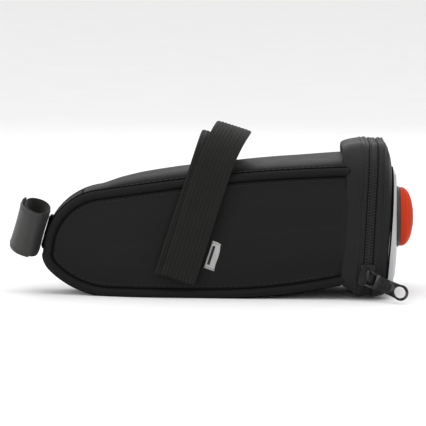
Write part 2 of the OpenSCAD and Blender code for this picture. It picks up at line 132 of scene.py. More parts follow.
def at_mouth(back, side, up):
    """Points from the band's own measures: back through the lid, to the right, and up the lean."""
    back, side, up = np.broadcast_arrays(back, side, up)
    return (mouth_foot + back[..., None] * mouth_back
            + side[..., None] * np.array([0, 1.0, 0]) + up[..., None] * zip_up)


# ---- Curves ----

def arc(middle, radius, first, last, steps):
    turn = np.radians(np.linspace(first, last, steps + 1))
    return np.stack([middle[0] + radius * np.cos(turn), middle[1] + radius * np.sin(turn)], -1)


def lengths_along(points):
    steps = np.linalg.norm(np.diff(points, axis=0), axis=1)
    return np.concatenate([[0], np.cumsum(steps)])


def respaced(points, count):
    run = lengths_along(points)
    wanted = np.linspace(0, run[-1], count)
    return np.stack([np.interp(wanted, run, points[:, k]) for k in range(points.shape[1])], -1)


def unit(vectors):
    return vectors / np.maximum(np.linalg.norm(vectors, axis=-1, keepdims=True), 1e-12)


def tangents(points, closed=False):
    if closed:
        return unit(np.roll(points, -1, 0) - np.roll(points, 1, 0))
    return unit(np.gradient(points, axis=0))


def soft_ripple(x, y, scale, seed):
    """Smooth irregular waves between about -1 and 1, the same at every run."""
    dice = np.random.default_rng(seed)
    total = 0
    for _ in range(7):
        turn = dice.uniform(0, 2 * math.pi)
        pitch = scale * dice.uniform(0.7, 1.9)
        shift = dice.uniform(0, 2 * math.pi)
        run = (x * math.cos(turn) + y * math.sin(turn)) / pitch
        total = total + np.sin(2 * math.pi * run + shift)
    return total / 4


# ---- Outline of the bag from the side ----

TOP_COUNT = 52
TOP_BOW = 2.6


def side_outline(inset, behind=1.6):
    """The bag's outline drawn in by an inset, from the top of the mouth round the nose to its foot."""
    lean = math.tan(mouth_lean)

    def mouth_x(height):
        return mouth_foot[0] + behind + (height - mouth_foot[2]) * lean

    drop = inset / math.cos(top_slope)
    end_x = mouth_x(75)
    for _ in range(3):
        end_x = mouth_x(top_line(end_x) - drop)
    nose_arc = arc(nose_middle, nose_round - inset, 90 + math.degrees(top_slope), 180, 26)
    top = np.linspace([end_x, top_line(end_x) - drop], nose_arc[0], TOP_COUNT)
    bow = np.clip(np.sin(np.linspace(0, math.pi, TOP_COUNT)), 0, 1) ** 0.9
    top[:, 1] += TOP_BOW * bow
    tip_middle = [nose_x + tip_round, nose_middle[1]]
    tip = arc(tip_middle, tip_round - inset, 180, 225, 10)
    low = arc(low_middle, low_middle[1] - inset, 225, 270, 18)
    flat = np.linspace([low_middle[0], inset], [belly_middle[0], inset], 18)
    belly_x = mouth_x(8)
    reach = belly_middle[1] - inset
    for _ in range(3):
        turn = math.asin((belly_x - belly_middle[0]) / reach)
        belly_x = mouth_x(belly_middle[1] - reach * math.cos(turn))
    belly = arc(belly_middle, reach, 270, 270 + math.degrees(turn), 30)
    return np.concatenate([top, nose_arc[1:], tip[1:], low[1:], flat[1:], belly[1:]])


edge_line = side_outline(0)
edge_way = tangents(edge_line)
edge_out = np.stack([edge_way[:, 1], -edge_way[:, 0]], -1)
edge_run = lengths_along(edge_line)


# ---- Outline of the band round the mouth ----

def band_outline(margin, steps=18, top_extra=0.0, low_extra=0.0):
    """Closed outline drawn in by a margin, from the middle of the foot round the right side.
    top_extra draws the upper part in further, and low_extra lifts the foot."""
    low, high = band_foot_round, band_top_round
    right = np.concatenate([
        np.linspace([0, margin], [band_half - low, margin], 20)[:-1],
        arc([band_half - low, low], low - margin, -90, 0, steps)[:-1],
        np.linspace([band_half - margin, low], [band_half - margin, band_height - high], 34)[:-1],
        arc([band_half - high, band_height - high], high - margin, 0, 90, 2 * steps)[:-1],
        np.linspace([band_half - high, band_height - margin], [0, band_height - margin], 16),
    ])
    if top_extra:
        middle = np.array([0, band_height / 2])
        lift = smooth_step(right[:, 1], 48, 84)
        inward = unit(middle - right)
        right = right + inward * (top_extra * lift)[:, None]
    foot_share = 1 - smooth_step(right[:, 1], 0.5, 17)
    right = right + np.stack([right[:, 0] * 0, low_extra * foot_share], -1)
    left = right[::-1][1:-1] * [-1, 1]
    return np.concatenate([right, left])


band_line = band_outline(0)
band_run = lengths_along(np.concatenate([band_line, band_line[:1]]))[:-1]


# ---- Mesh making ----

class Stock:
    """Gathers sheets of points into one mesh. cloth holds each point's place on the flat cloth, in mm."""

    def __init__(self):
        self.points, self.cloth, self.faces, self.finish = [], [], [], []
        self.count = 0

    def add(self, points, cloth):
        points = np.asarray(points, float).reshape(-1, 3)
        cloth = np.asarray(cloth, float).reshape(-1, 2)
        self.points.append(points)
        self.cloth.append(cloth)
        first = self.count
        self.count += len(points)
        return first

    def faces_from(self, faces, finish=0):
        faces = np.asarray(faces).reshape(-1, 4)
        self.faces.append(faces)
        self.finish.append(np.full(len(faces), finish))

    def grid(self, points, cloth=None, around=False, along=False, finish=0, flip=False):
        """A sheet of rows and columns; around closes each row, along joins the last row to the first."""
        rows, cols = points.shape[:2]
        if cloth is None:
            cloth = grid_cloth(points)
        first = self.add(points, cloth)
        index = first + np.arange(rows * cols).reshape(rows, cols)
        self.weave_faces(index, around, along, finish, flip)
        return index

    def weave_faces(self, index, around=False, along=False, finish=0, flip=False):
        if around:
            index = np.concatenate([index, index[:, :1]], 1)
        if along:
            index = np.concatenate([index, index[:1]], 0)
        quads = np.stack([index[:-1, :-1], index[:-1, 1:], index[1:, 1:], index[1:, :-1]], -1)
        if flip:
            quads = quads[..., ::-1]
        self.faces_from(quads, finish)

    def wall(self, outer, inner, cloth=None, around=False, finish=0, lining=0):
        """A sheet with a thickness: its two faces and the edges between them."""
        if cloth is None:
            cloth = grid_cloth(outer)
        top = self.grid(outer, cloth, around, finish=finish)
        under = self.grid(inner, cloth, around, finish=lining, flip=True)
        edges = [(top[0], under[0], True), (top[-1], under[-1], False)]
        if not around:
            edges += [(top[:, 0], under[:, 0], False), (top[:, -1], under[:, -1], True)]
        for one, other, flip in edges:
            self.weave_faces(np.stack([one, other]), around, finish=finish, flip=flip)

    def cap(self, ring, finish=0, flip=False):
        """Closes a ring of points with a strip of quads."""
        ring = np.asarray(ring)
        half = len(ring) // 2
        one, other = ring[:half], ring[::-1][:half]
        quads = np.stack([one[:-1], one[1:], other[1:], other[:-1]], -1)
        if len(ring) % 2:
            quads = np.concatenate([quads, [[one[-1], ring[half], other[-1], other[-1]]]])
        if flip:
            quads = quads[:, ::-1]
        self.faces_from(quads, finish)

    def tube(self, path, radius, sides=8, closed=False, squeeze=1.0, finish=0, normals=None):
        """A round or flattened cord along a path."""
        path = np.asarray(path, float)
        run = tangents(path, closed)
        if normals is None:
            guide = np.array([0.31, 0.22, 0.93])
            normals = np.broadcast_to(guide, path.shape)
        side = unit(np.cross(run, normals))
        up = np.cross(side, run)
        turn = np.linspace(0, 2 * math.pi, sides, endpoint=False)
        size = np.broadcast_to(np.asarray(radius, float), (len(path),))[:, None, None]
        rings = (path[:, None] + side[:, None] * np.cos(turn)[None, :, None] * size
                 + up[:, None] * np.sin(turn)[None, :, None] * size * squeeze)
        reach = lengths_along(path)
        cloth = np.stack(np.broadcast_arrays(turn[None] * float(np.mean(size)),
                                             reach[:, None]), -1)
        index = self.grid(rings, cloth, around=True, along=closed, finish=finish, flip=True)
        if not closed:
            self.cap(index[0], finish)
            self.cap(index[-1], finish, flip=True)
        return index

    def piece(self, name, finishes, body, slot_name, sharp=40):
        """Makes the Blender object, gives it its finishes and lets it ride on its body."""
        finishes = finishes if isinstance(finishes, (list, tuple)) else [finishes]
        points = np.concatenate(self.points) * MM
        faces = np.concatenate(self.faces)
        finish = np.concatenate(self.finish)
        mesh = bpy.data.meshes.new(name)
        rows = [list(dict.fromkeys(row)) for row in faces.tolist()]
        mesh.from_pydata(points.tolist(), [], rows)
        for coat in finishes:
            mesh.materials.append(coat)
        mesh.polygons.foreach_set("material_index", finish.astype(np.int32))
        mesh.polygons.foreach_set("use_smooth", np.ones(len(mesh.polygons), bool))
        flat = np.concatenate(self.cloth)
        cloth = mesh.attributes.new("cloth", "FLOAT_VECTOR", "POINT")
        cloth.data.foreach_set("vector", np.pad(flat, ((0, 0), (0, 1))).ravel())
        mesh.set_sharp_from_angle(angle=math.radians(sharp))
        mesh.update()
        thing = bpy.data.objects.new(name, mesh)
        bpy.context.scene.collection.objects.link(thing)
        if body:
            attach(thing, body)
        return thing


def grid_cloth(points):
    """Flat measures of a sheet: mean distances along its rows and its columns."""
    across = np.linalg.norm(np.diff(points, axis=1), axis=2).mean(0)
    down = np.linalg.norm(np.diff(points, axis=0), axis=2).mean(1)
    across = np.concatenate([[0], np.cumsum(across)])
    down = np.concatenate([[0], np.cumsum(down)])
    return np.stack(np.broadcast_arrays(across[None], down[:, None]), -1)


# ---- Materials ----

class Field:
    """A socket that can be used in sums: each operator adds a Math node."""

    def __init__(self, coat, socket):
        self.coat, self.socket = coat, socket

    def math(self, operation, *others):
        values = [other.socket if isinstance(other, Field) else other for other in others]
        node = self.coat.node("ShaderNodeMath", {"operation": operation},
                              dict(enumerate([self.socket, *values])))
        return Field(self.coat, node.outputs[0])

    def __add__(self, other):
        return self.math("ADD", other)

    def __mul__(self, other):
        return self.math("MULTIPLY", other)

    def __sub__(self, other):
        return self.math("SUBTRACT", other)

    def __rsub__(self, other):
        return self * -1 + other

    def __abs__(self):
        return self.math("ABSOLUTE")

    __radd__ = __add__
    __rmul__ = __mul__

    def sine(self):
        return self.math("SINE")

    def clamp(self):
        return self.math("MAXIMUM", 0.0).math("MINIMUM", 1.0)

    def step(self, low, high):
        """0 below low, 1 above high, and smooth between."""
        node = self.coat.node("ShaderNodeMapRange", {"interpolation_type": "SMOOTHSTEP"},
                              {0: self, 1: low, 2: high, 3: 0.0, 4: 1.0})
        return Field(self.coat, node.outputs[0])


class Coat:
    """A finish: one Principled shader and the nodes that vary it."""

    def __init__(self, name, **constants):
        self.material = bpy.data.materials.new(name)
        self.material.use_nodes = True
        self.tree = self.material.node_tree
        self.shader = self.tree.nodes["Principled BSDF"]
        for socket, value in constants.items():
            self.shader.inputs[socket.replace("_", " ")].default_value = value

    def node(self, kind, settings=None, inputs=None):
        node = self.tree.nodes.new(kind)
        for key, value in (settings or {}).items():
            setattr(node, key, value)
        for key, value in (inputs or {}).items():
            self.feed(node.inputs[key], value)
        return node

    def feed(self, socket, value):
        if isinstance(value, Field):
            value = value.socket
        if isinstance(value, bpy.types.NodeSocket):
            self.tree.links.new(value, socket)
        elif isinstance(value, tuple) and len(value) == 3 and socket.type == "RGBA":
            socket.default_value = (*value, 1)
        else:
            socket.default_value = value

    def place(self):
        """Place on the object, in mm, at rest."""
        seat = self.node("ShaderNodeTexCoord").outputs["Object"]
        return self.node("ShaderNodeVectorMath", {"operation": "SCALE"},
                         {0: seat, "Scale": 1 / MM}).outputs[0]

    def cloth(self):
        """Place on the flat cloth, in mm."""
        return self.node("ShaderNodeAttribute", {"attribute_name": "cloth"}).outputs["Vector"]

    def edge(self):
        """How sharp the surface is: 0.5 where flat, more at its edges."""
        return Field(self, self.node("ShaderNodeNewGeometry").outputs["Pointiness"])

    def split(self, vector):
        parts = self.node("ShaderNodeSeparateXYZ", inputs={0: vector})
        return [Field(self, socket) for socket in parts.outputs]

    def noise(self, vector, scale, detail=3.0, rough=0.55):
        node = self.node("ShaderNodeTexNoise", inputs={
            "Vector": vector, "Scale": scale, "Detail": detail, "Roughness": rough})
        return Field(self, node.outputs["Fac"])

    def speckle(self, vector, scale):
        node = self.node("ShaderNodeTexVoronoi", inputs={"Vector": vector, "Scale": scale})
        return Field(self, node.outputs["Distance"])

    def mix(self, share, one, other):
        node = self.node("ShaderNodeMix", {"data_type": "RGBA"}, {0: share, 6: one, 7: other})
        return node.outputs[2]

    def bump(self, height, distance, strength=1.0, under=None):
        inputs = {"Height": height, "Distance": distance * MM, "Strength": strength}
        if under is not None:
            inputs["Normal"] = under
        return self.node("ShaderNodeBump", inputs=inputs).outputs[0]

    def finish(self, **varied):
        for socket, value in varied.items():
            self.feed(self.shader.inputs[socket.replace("_", " ")], value)
        return self.material


def plain_weave(coat, cloth, pitch, twist=0.0):
    """Height of a plain weave: yarns of that pitch going over and under each other."""
    across, down, _ = coat.split(cloth)
    if twist:
        across = across + down * twist
    turn = math.pi / pitch
    over = (across * turn).sine() * (down * turn).sine()
    warp = abs((across * turn).sine())
    weft = abs((down * turn).sine())
    return over * 0.35 + (warp * (over + 1) + weft * (1 - over)) * 0.28


def woven(name, dark, light, pitch, depth, rough, sheen=0.03, wear=0.35, twist=0.0, gloss=0.2,
          **constants):
    """Woven cloth: yarn pattern, uneven dye, soft creases and worn high spots."""
    coat = Coat(name, Sheen_Weight=sheen, Sheen_Roughness=0.45, Specular_IOR_Level=gloss,
                **constants)
    place, cloth = coat.place(), coat.cloth()
    weave = plain_weave(coat, cloth, pitch, twist)
    dye = coat.noise(place, 0.09, 4)
    slub = coat.noise(cloth, 1.3, 2)
    fuzz = coat.noise(place, 3.5, 2)
    worn = coat.edge().step(0.52, 0.60) * wear * fuzz
    shade = (weave * 0.45 + dye * 0.45 + slub * 0.35 - 0.22 + worn).clamp()
    color = coat.mix(shade, dark, light)
    height = weave * 0.8 + slub * 0.25 + fuzz * 0.15
    creased = coat.bump(coat.noise(place, 0.12, 3), 0.5, 0.35)
    normal = coat.bump(height, depth, 0.8, creased)
    roughness = dye * 0.16 + weave * 0.1 + (rough - 0.14)
    return coat.finish(Base_Color=color, Roughness=roughness, Normal=normal)


def webbing_cloth(name, dark, light, rough=0.72):
    """Heavy ribbed webbing: weft picks packed along its length, a little fluff on top, and painted shade
    in the grooves between picks and ribs.
    """
    coat = Coat(name, Sheen_Weight=0.04, Sheen_Roughness=0.4, Specular_IOR_Level=0.2)
    place, cloth = coat.place(), coat.cloth()
    across, along, _ = coat.split(cloth)
    rib = across * math.pi
    lean = abs((across * math.pi * 0.5).sine()) * 0.22
    pick = abs(((along + lean) * (math.pi / 0.85)).sine())
    strand = abs((across * (math.pi / 0.5) + along * 1.2).sine())
    fluff = coat.noise(place, 2.8, 3)
    dye = coat.noise(place, 0.11, 3)
    valley = abs(rib.sine())
    # Painted shade: colour is darker between the weft picks (pick) and along the rib grooves (valley), on
    # top of the yarn and fluff pattern.
    shade = (pick * 0.5 + valley * 0.4 + strand * 0.2 + fluff * 0.22 + dye * 0.2 - 0.66).clamp()
    color = coat.mix(shade, dark, light)
    height = pick * 0.6 + strand * 0.22 + fluff * 0.2
    normal = coat.bump(height, 0.4, 0.9)
    return coat.finish(Base_Color=color, Roughness=fluff * 0.2 + (rough - 0.1), Normal=normal)


def moulded(name, dark, light, rough, grain=1.2, depth=0.05, **constants):
    """Moulded plastic: fine spark-eroded grain, faint flow marks, rubbed corners."""
    coat = Coat(name, **constants)
    place = coat.place()
    fine = coat.noise(place, grain * 2.2, 3)
    flow = coat.noise(place, 0.06, 3)
    rubbed = coat.edge().step(0.53, 0.62) * 0.5
    color = coat.mix((flow * 0.5 + fine * 0.3 + rubbed - 0.2).clamp(), dark, light)
    normal = coat.bump(fine, depth, 0.6)
    return coat.finish(Base_Color=color, Roughness=fine * 0.14 + flow * 0.1 + (rough - 0.12),
                       Normal=normal)


def plated(name, dark, light, rough=0.28, **constants):
    """Plated zinc: darker in its hollows, brighter and scratched at its edges."""
    coat = Coat(name, Metallic=1.0, **constants)
    place = coat.place()
    edge = coat.edge()
    cloud = coat.noise(place, 0.5, 4)
    squeezed = coat.node("ShaderNodeMapping", inputs={"Vector": place, "Scale": (6.0, 0.5, 0.9)})
    scratch = coat.noise(squeezed.outputs[0], 1.6, 4, 0.7).step(0.6, 0.74)
    worn = (edge.step(0.5, 0.6) * 0.8 + scratch * 0.25 + cloud * 0.3 - 0.1).clamp()
    color = coat.mix(worn, dark, light)
    normal = coat.bump(cloud + scratch * 0.3, 0.03, 0.5)
    return coat.finish(Base_Color=color, Roughness=cloud * 0.18 + scratch * 0.15 + rough - 0.08,
                       Normal=normal)


def glass_bead_cloth(name):
    """Reflective cloth: tiny glass beads in a silver-grey coat over a fine weave."""
    coat = Coat(name, Metallic=0.35, Coat_Roughness=0.4)
    place, cloth = coat.place(), coat.cloth()
    beads = coat.speckle(place, 4.5)
    weave = plain_weave(coat, cloth, 0.45)
    cloud = coat.noise(place, 0.08, 4)
    scuff = coat.noise(place, 0.6, 4).step(0.58, 0.72)
    shade = (cloud * 0.6 + beads * 0.35 + weave * 0.15 - 0.1).clamp()
    silver = coat.mix(shade, (0.26, 0.265, 0.275), (0.52, 0.53, 0.545))
    color = coat.mix(scuff * 0.35, silver, (0.24, 0.24, 0.245))
    normal = coat.bump(beads * 0.5 + weave * 0.4, 0.05, 0.7)
    return coat.finish(Base_Color=color, Roughness=beads * 0.25 + cloud * 0.12 + 0.3,
                       Coat_Weight=cloud * 0.3, Normal=normal)


def light_plastic(name, deep, bright, rough, **constants):
    """Dyed clear plastic: painted light toward the rim and painted shade in the middle, faint rings from
    the ribs moulded inside, and a faint painted glow.
    """
    coat = Coat(name, **constants)
    place = coat.place()
    _, side, up = coat.split(place)
    side = side - float(light_middle[1])
    up = up - float(light_middle[2])
    reach = (side * side + up * up).math("SQRT")
    ribs = abs((reach * (math.pi / 1.6)).sine())
    cloud = coat.noise(place, 0.12, 3)
    # Painted light and shade: lighter toward the rim, darker in the middle.
    rim_glow = reach.step(8.0, 16.5)
    shade = (rim_glow * 0.62 + ribs * 0.2 + cloud * 0.2).clamp()
    color = coat.mix(shade, deep, bright)
    # Painted glow: the lens gives off a little light of its own, stronger toward the rim.
    glow = coat.mix(shade, (0.0, 0.0, 0.0), bright)
    haze = coat.noise(place, 1.4, 3)
    normal = coat.bump(ribs * 0.4 + haze * 0.3, 0.04, 0.3)
    return coat.finish(Base_Color=color, Emission_Color=glow, Roughness=haze * 0.12 + rough,
                       Normal=normal)


def spun_thread(name, dark, light):
    """Sewing thread: plies twisted round each other, with loose fibres."""
    coat = Coat(name, Sheen_Weight=0.04, Specular_IOR_Level=0.3)
    place, cloth = coat.place(), coat.cloth()
    around, along, _ = coat.split(cloth)
    ply = abs((along * (math.pi / 0.45) + around * 2.6).sine())
    fluff = coat.noise(place, 5.0, 2)
    color = coat.mix((ply * 0.6 + fluff * 0.5 - 0.15).clamp(), dark, light)
    normal = coat.bump(ply, 0.12, 0.8)
    return coat.finish(Base_Color=color, Roughness=fluff * 0.2 + 0.5, Normal=normal)


bag_cloth = woven("black_bag_cloth", (0.0028, 0.0028, 0.0029), (0.0098, 0.0098, 0.01),
                  0.55, 0.10, 0.78)
rim_cloth = woven("rim_cloth", (0.0021, 0.0021, 0.0022), (0.0075, 0.0075, 0.0077),
                  0.55, 0.10, 0.7, sheen=0.02, gloss=0.16)
satin_cloth = woven("satin_top_cloth", (0.003, 0.003, 0.003), (0.0105, 0.0105, 0.0102),
                    0.32, 0.05, 0.58, sheen=0.02, wear=0.15, gloss=0.1)
band_cloth = woven("band_cloth", (0.0026, 0.0026, 0.0026), (0.0095, 0.0095, 0.0093),
                   0.5, 0.08, 0.6, sheen=0.02, gloss=0.22)
lining_cloth = woven("grey_lining", (0.03, 0.031, 0.033), (0.075, 0.077, 0.08),
                     0.4, 0.04, 0.55)
# The piping cloth is near black, darker than the cloth round it: painted shade of the seam grooves it
# lies in.
piping_cloth_painted_shade = woven("piping_cloth_painted_shade", (0.0007, 0.0007, 0.0007), (0.0024, 0.0024, 0.0024),
                     0.5, 0.08, 0.85, sheen=0.0, gloss=0.06)
tape_cloth = woven("zip_tape_cloth", (0.003, 0.003, 0.003), (0.011, 0.011, 0.011),
                   0.42, 0.08, 0.75, twist=0.8)
hook_cloth = woven("hook_strap_cloth", (0.012, 0.012, 0.0115), (0.042, 0.0415, 0.04),
                   0.38, 0.05, 0.5, sheen=0.12, wear=0.2, gloss=0.35)
loop_cloth = woven("loop_strap_inside", (0.006, 0.006, 0.0055), (0.03, 0.029, 0.027),
                   0.6, 0.3, 0.85, sheen=0.12)
label_cloth = woven("label_cloth", (0.28, 0.28, 0.275), (0.56, 0.56, 0.55),
                    0.3, 0.04, 0.6)
label_bar = woven("label_bar_cloth", (0.01, 0.01, 0.01), (0.03, 0.03, 0.03),
                  0.3, 0.04, 0.6)
strap_webbing = webbing_cloth("strap_webbing", (0.0009, 0.0009, 0.0008), (0.033, 0.032, 0.029))
black_thread = spun_thread("black_thread", (0.005, 0.005, 0.005), (0.02, 0.02, 0.02))
grey_thread = spun_thread("grey_thread", (0.015, 0.015, 0.015), (0.05, 0.05, 0.049))
coil_nylon = moulded("zip_coil_nylon", (0.005, 0.005, 0.005), (0.02, 0.02, 0.02), 0.36)
gun_metal = plated("zip_gun_metal", (0.004, 0.004, 0.0043), (0.075, 0.075, 0.078))
stop_metal = plated("zip_stop_metal", (0.09, 0.09, 0.095), (0.45, 0.45, 0.46))
silver_cloth = glass_bead_cloth("reflective_cloth")
black_housing = moulded("light_housing_plastic", (0.008, 0.008, 0.008), (0.03, 0.03, 0.03), 0.42)
# The red lens glows faintly (Emission_Strength): painted light.
red_lens = light_plastic("red_lens_plastic", (0.26, 0.012, 0.004), (0.50, 0.042, 0.014), 0.34,
                         IOR=1.3, Emission_Strength=0.06, Specular_IOR_Level=0.06)
red_button = moulded("light_button_plastic", (0.16, 0.012, 0.006), (0.34, 0.03, 0.012), 0.35)
green_board = moulded("light_circuit_board", (0.008, 0.05, 0.02), (0.02, 0.11, 0.045), 0.35)
clear_led = moulded("light_led_epoxy", (0.5, 0.35, 0.32), (0.8, 0.62, 0.58), 0.15)
switch_plastic = moulded("light_switch_plastic", (0.02, 0.02, 0.02), (0.06, 0.06, 0.06), 0.4)
cell_steel = plated("cell_steel", (0.35, 0.35, 0.36), (0.7, 0.7, 0.71), 0.22)
contact_brass = plated("contact_brass", (0.38, 0.26, 0.09), (0.75, 0.56, 0.26), 0.25)
stiff_board = moulded("stiffening_board", (0.02, 0.02, 0.021), (0.05, 0.05, 0.052), 0.6, 0.8)


# ---- Side panels with their padded rims ----

LEFT, RIGHT = -1, 1
SIDES = ((LEFT, "left"), (RIGHT, "right"))
WALL = 2.2
STRAP_FOOT = (-1, 11)
RAIL_STRAP_LEAN = math.radians(18)
rail_lean = math.tan(RAIL_STRAP_LEAN)


def rail_strap_x(height, shift=0.0):
    """Where the rail straps' middle line is at a height on the bag's side."""
    return STRAP_FOOT[0] + (height - STRAP_FOOT[1]) * rail_lean + shift


# (inset from the bag's edge, stand-off from the side's plane)
rim_profile = np.array([
    [0.9, -2.2], [0.25, -1.7], [0.05, -0.9], [0.22, -0.1], [0.8, 0.8], [1.7, 1.3], [2.7, 1.4],
    [3.6, 1.1], [4.3, 0.4], [4.75, -0.4], [5.0, -1.0], [5.35, -0.6], [5.9, -0.1], [6.9, 0.2],
])


def side_grid(depth):
    """Rows from the bag's edge over the rim to the middle of the panel, as (x, z, stand-off)."""
    rows = []
    for inset, out in rim_profile:
        line = side_outline(inset)
        rows.append(np.column_stack([line, np.full(len(line), out)]))
    outer = rows[-1]
    count = len(outer)
    share = edge_run / edge_run[-1]
    nose_share = share[TOP_COUNT + 34]
    along = np.where(share < nose_share, share / nose_share,
                     1 - (share - nose_share) / (1 - nose_share))
    along = np.sin(along * math.pi / 2) ** 0.9
    spine_end = outer[[0, -1]].mean(0)
    spine = np.stack([spine_end[0] + (-44 - spine_end[0]) * along,
                      spine_end[1] + (27 - spine_end[1]) * along], -1)
    steps = np.concatenate([[0.05, 0.1, 0.16], np.linspace(0.24, 1, 13)])
    for step in steps:
        place = outer[:, :2] * (1 - step) + spine * step
        rows.append(np.column_stack([place, np.full(count, 0.2)]))
    grid = np.array(rows)
    x, z = grid[..., 0], grid[..., 1]
    depth_in = np.concatenate([np.zeros(len(rim_profile)), steps])[:, None]
    swell = smooth_step(depth_in, 0, 0.5)
    strap = 1 - smooth_step(np.abs(x - rail_strap_x(z) + 1.5), 11, 24)
    loose = smooth_step(x, 35, 80)
    puff = swell * (1.3 + 0.9 * loose) * (1 - 0.85 * strap)
    folds = soft_ripple(x, z, 46, 11) * 0.35 + soft_ripple(x, z * 0.6, 21, 5) * 0.12
    pull = np.exp(-((x - 30 - (z - 30) * 0.5) / 7.0) ** 2) * 0.35 * smooth_step(z, 12, 50)
    grid[..., 2] += puff + folds * swell * (1 - 0.6 * strap) + pull * swell
    wave = soft_ripple(x, z, 15, 3) * 0.10
    grid[..., 2] += wave * (1 - swell) * (grid[..., 2] > 0.2)
    grid[..., 2] -= depth
    return grid


def to_side(grid, side):
    x, z, out = grid[..., 0], grid[..., 1], grid[..., 2]
    return np.stack([x, side * (half_width(x) + out), z], -1)


RIM_ROWS = 11
outer_side = side_grid(0)
inner_side = side_grid(WALL)
inner_side[:3, :, 2] = outer_side[:3, :, 2] - 0.5
side_cloth = outer_side[..., :2]


def sew_side(side, word):
    """One side of the bag: the rim and the panel inside it, each a padded piece."""
    turn = (lambda rows: rows[:, ::-1]) if side == RIGHT else (lambda rows: rows)
    for name, rows, cloth, node in (
            ("padded_rim_", slice(0, RIM_ROWS), rim_cloth, "rim_"),
            ("side_panel_cloth_", slice(RIM_ROWS - 1, None), bag_cloth, "side_panel_")):
        stock = Stock()
        outer = turn(to_side(outer_side[rows], side))
        inner = turn(to_side(inner_side[rows], side))
        stock.wall(outer, inner, turn(side_cloth[rows]), finish=0, lining=1)
        piece = stock.piece(name + word, [cloth, lining_cloth], "bag", "bag_fabric", sharp=70)
        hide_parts(node + word)


for side, word in SIDES:
    sew_side(side, word)


# ---- Top panel, nose and belly: cloth wrapped round the bag's edge ----

CROWN_AT = [-77, -61, -44, -33, -22, -11, 0, 25, 50, 67, 95]
CROWN_RISE = [0.6, 0.6, 1.6, 3.2, 4.0, 4.3, 4.3, 3.9, 3.8, 3.9, 4.4]


def wrap_grid(first, last, drop=0.0):
    """The wrap's cloth between two places on the edge line: rows along it, columns across."""
    line = edge_line[first:last]
    out = edge_out[first:last]
    x = line[:, 0]
    run = edge_run[first:last]
    rise = np.interp(x, CROWN_AT, CROWN_RISE)
    rise = rise * (1 - smooth_step(run, edge_run[TOP_COUNT + 30], edge_run[TOP_COUNT + 50]))
    across = np.sin(np.linspace(-1, 1, 45) * math.pi / 2)
    shape = np.clip(1 - np.abs(across) ** 4, 0, 1) ** 0.55
    sag = soft_ripple(run[:, None] * 0.9, across[None] * 26, 38, 8) * 0.35
    sag = sag * (1 - np.abs(across[None]) ** 4) * (x[:, None] > -60)
    lift = rise[:, None] * shape[None] + sag * (rise[:, None] > 0.6)
    groove = np.exp(-((1 - np.abs(across)) * 30 / 0.9) ** 2) * 0.35
    lift = lift - groove[None] - 0.25 - drop
    low = line[:, 1] < 20
    lift = np.where(low[:, None], np.minimum(lift, -0.05 - drop), lift)
    width = half_width(x) - 0.75 - drop * 0.4
    place = np.stack([line[:, None, 0] + out[:, None, 0] * lift,
                      across[None] * width[:, None],
                      line[:, None, 1] + out[:, None, 1] * lift], -1)
    return place


def wrap_piece(name, first, last, cloth, slot_name, node):
    """One panel of the wrap, lined."""
    stock = Stock()
    stock.wall(wrap_grid(first, last)[:, ::-1], wrap_grid(first, last, 1.3)[:, ::-1],
               finish=0, lining=1)
    piece = stock.piece(name, [cloth, lining_cloth], "bag", slot_name, sharp=70)
    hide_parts(node)


crown_seam = TOP_COUNT + 4
wrap_piece("top_panel_satin", 0, crown_seam + 1, satin_cloth, "top_fabric", "top_panel")
wrap_piece("nose_and_belly_cloth", crown_seam, len(edge_line), bag_cloth, "bag_fabric",
           "belly_panel")


def sew_piping(side, word):
    """Thin bound piping in the seam between the rim and the wrap, and in the panel's seam."""
    stock = Stock()
    for inset, count, stand, radius, corners in ((0.0, 260, -1.0, 0.55, 7),
                                                 (5.0, 220, -0.9, 0.42, 6)):
        line = respaced(side_outline(inset, 0.6), count)
        path = to_side(np.column_stack([line, np.full(count, stand)]), side)
        stock.tube(path, radius, corners)
    stock.piece("seam_piping_" + word, piping_cloth_painted_shade, "bag", "bag_fabric")


for side, word in SIDES:
    sew_piping(side, word)


def stitch_run(stock, path, outward, length=2.3, gap=0.85, radius=0.17, lift=0.05):
    """A row of lockstitches: short threads lying on the cloth, their ends pulled down into it."""
    run = lengths_along(path)
    count = int(run[-1] / (length + gap))
    shape = np.array([-0.5, -0.46, -0.3, 0, 0.3, 0.46, 0.5])
    sink = np.array([-0.32, -0.1, 0.04, 0.08, 0.04, -0.1, -0.32])
    for k in range(count):
        middle = (k + 0.5) * run[-1] / count
        place = middle + shape * length
        spot = np.stack([np.interp(place, run, path[:, i]) for i in range(3)], -1)
        away = unit(np.stack([np.interp(place, run, outward[:, i]) for i in range(3)], -1))
        spot = spot + away * (sink + lift)[:, None]
        stock.tube(spot, radius * np.array([0.5, 0.9, 1, 1, 1, 0.9, 0.5]), 5, normals=away)


def stitch_side(side, word):
    """A row of stitches on the panel, just inside the rim."""
    stock = Stock()
    path = to_side(outer_side[RIM_ROWS + 2], side)[2:-2]
    stitch_run(stock, path, np.broadcast_to([0, side * 1.0, 0], path.shape), lift=0.02)
    stock.piece("panel_topstitch_" + word, black_thread, "bag", "bag_fabric")


for side, word in SIDES:
    stitch_side(side, word)


def top_seams():
    """Stitches along both edges and the front of the top panel, and the fold at its front seam."""
    rows = wrap_grid(0, crown_seam + 1)
    middle = rows.shape[1] // 2
    stock = Stock()
    for column in (3, 41):
        path = rows[3:-1, column]
        outward = np.broadcast_to([0, (column - middle) / 40, 0.9], path.shape)
        stitch_run(stock, path, unit(outward))
    cross = wrap_grid(crown_seam - 3, crown_seam - 2)[0][3:-3]
    stitch_run(stock, cross, np.broadcast_to([-0.4, 0, 0.9], cross.shape))
    stock.piece("top_panel_topstitch", grey_thread, "bag", "top_fabric")
    stock = Stock()
    stock.tube(rows[-1][1:-1], 0.55, 7)
    stock.piece("crown_seam_fold", piping_cloth_painted_shade, "bag", "bag_fabric")


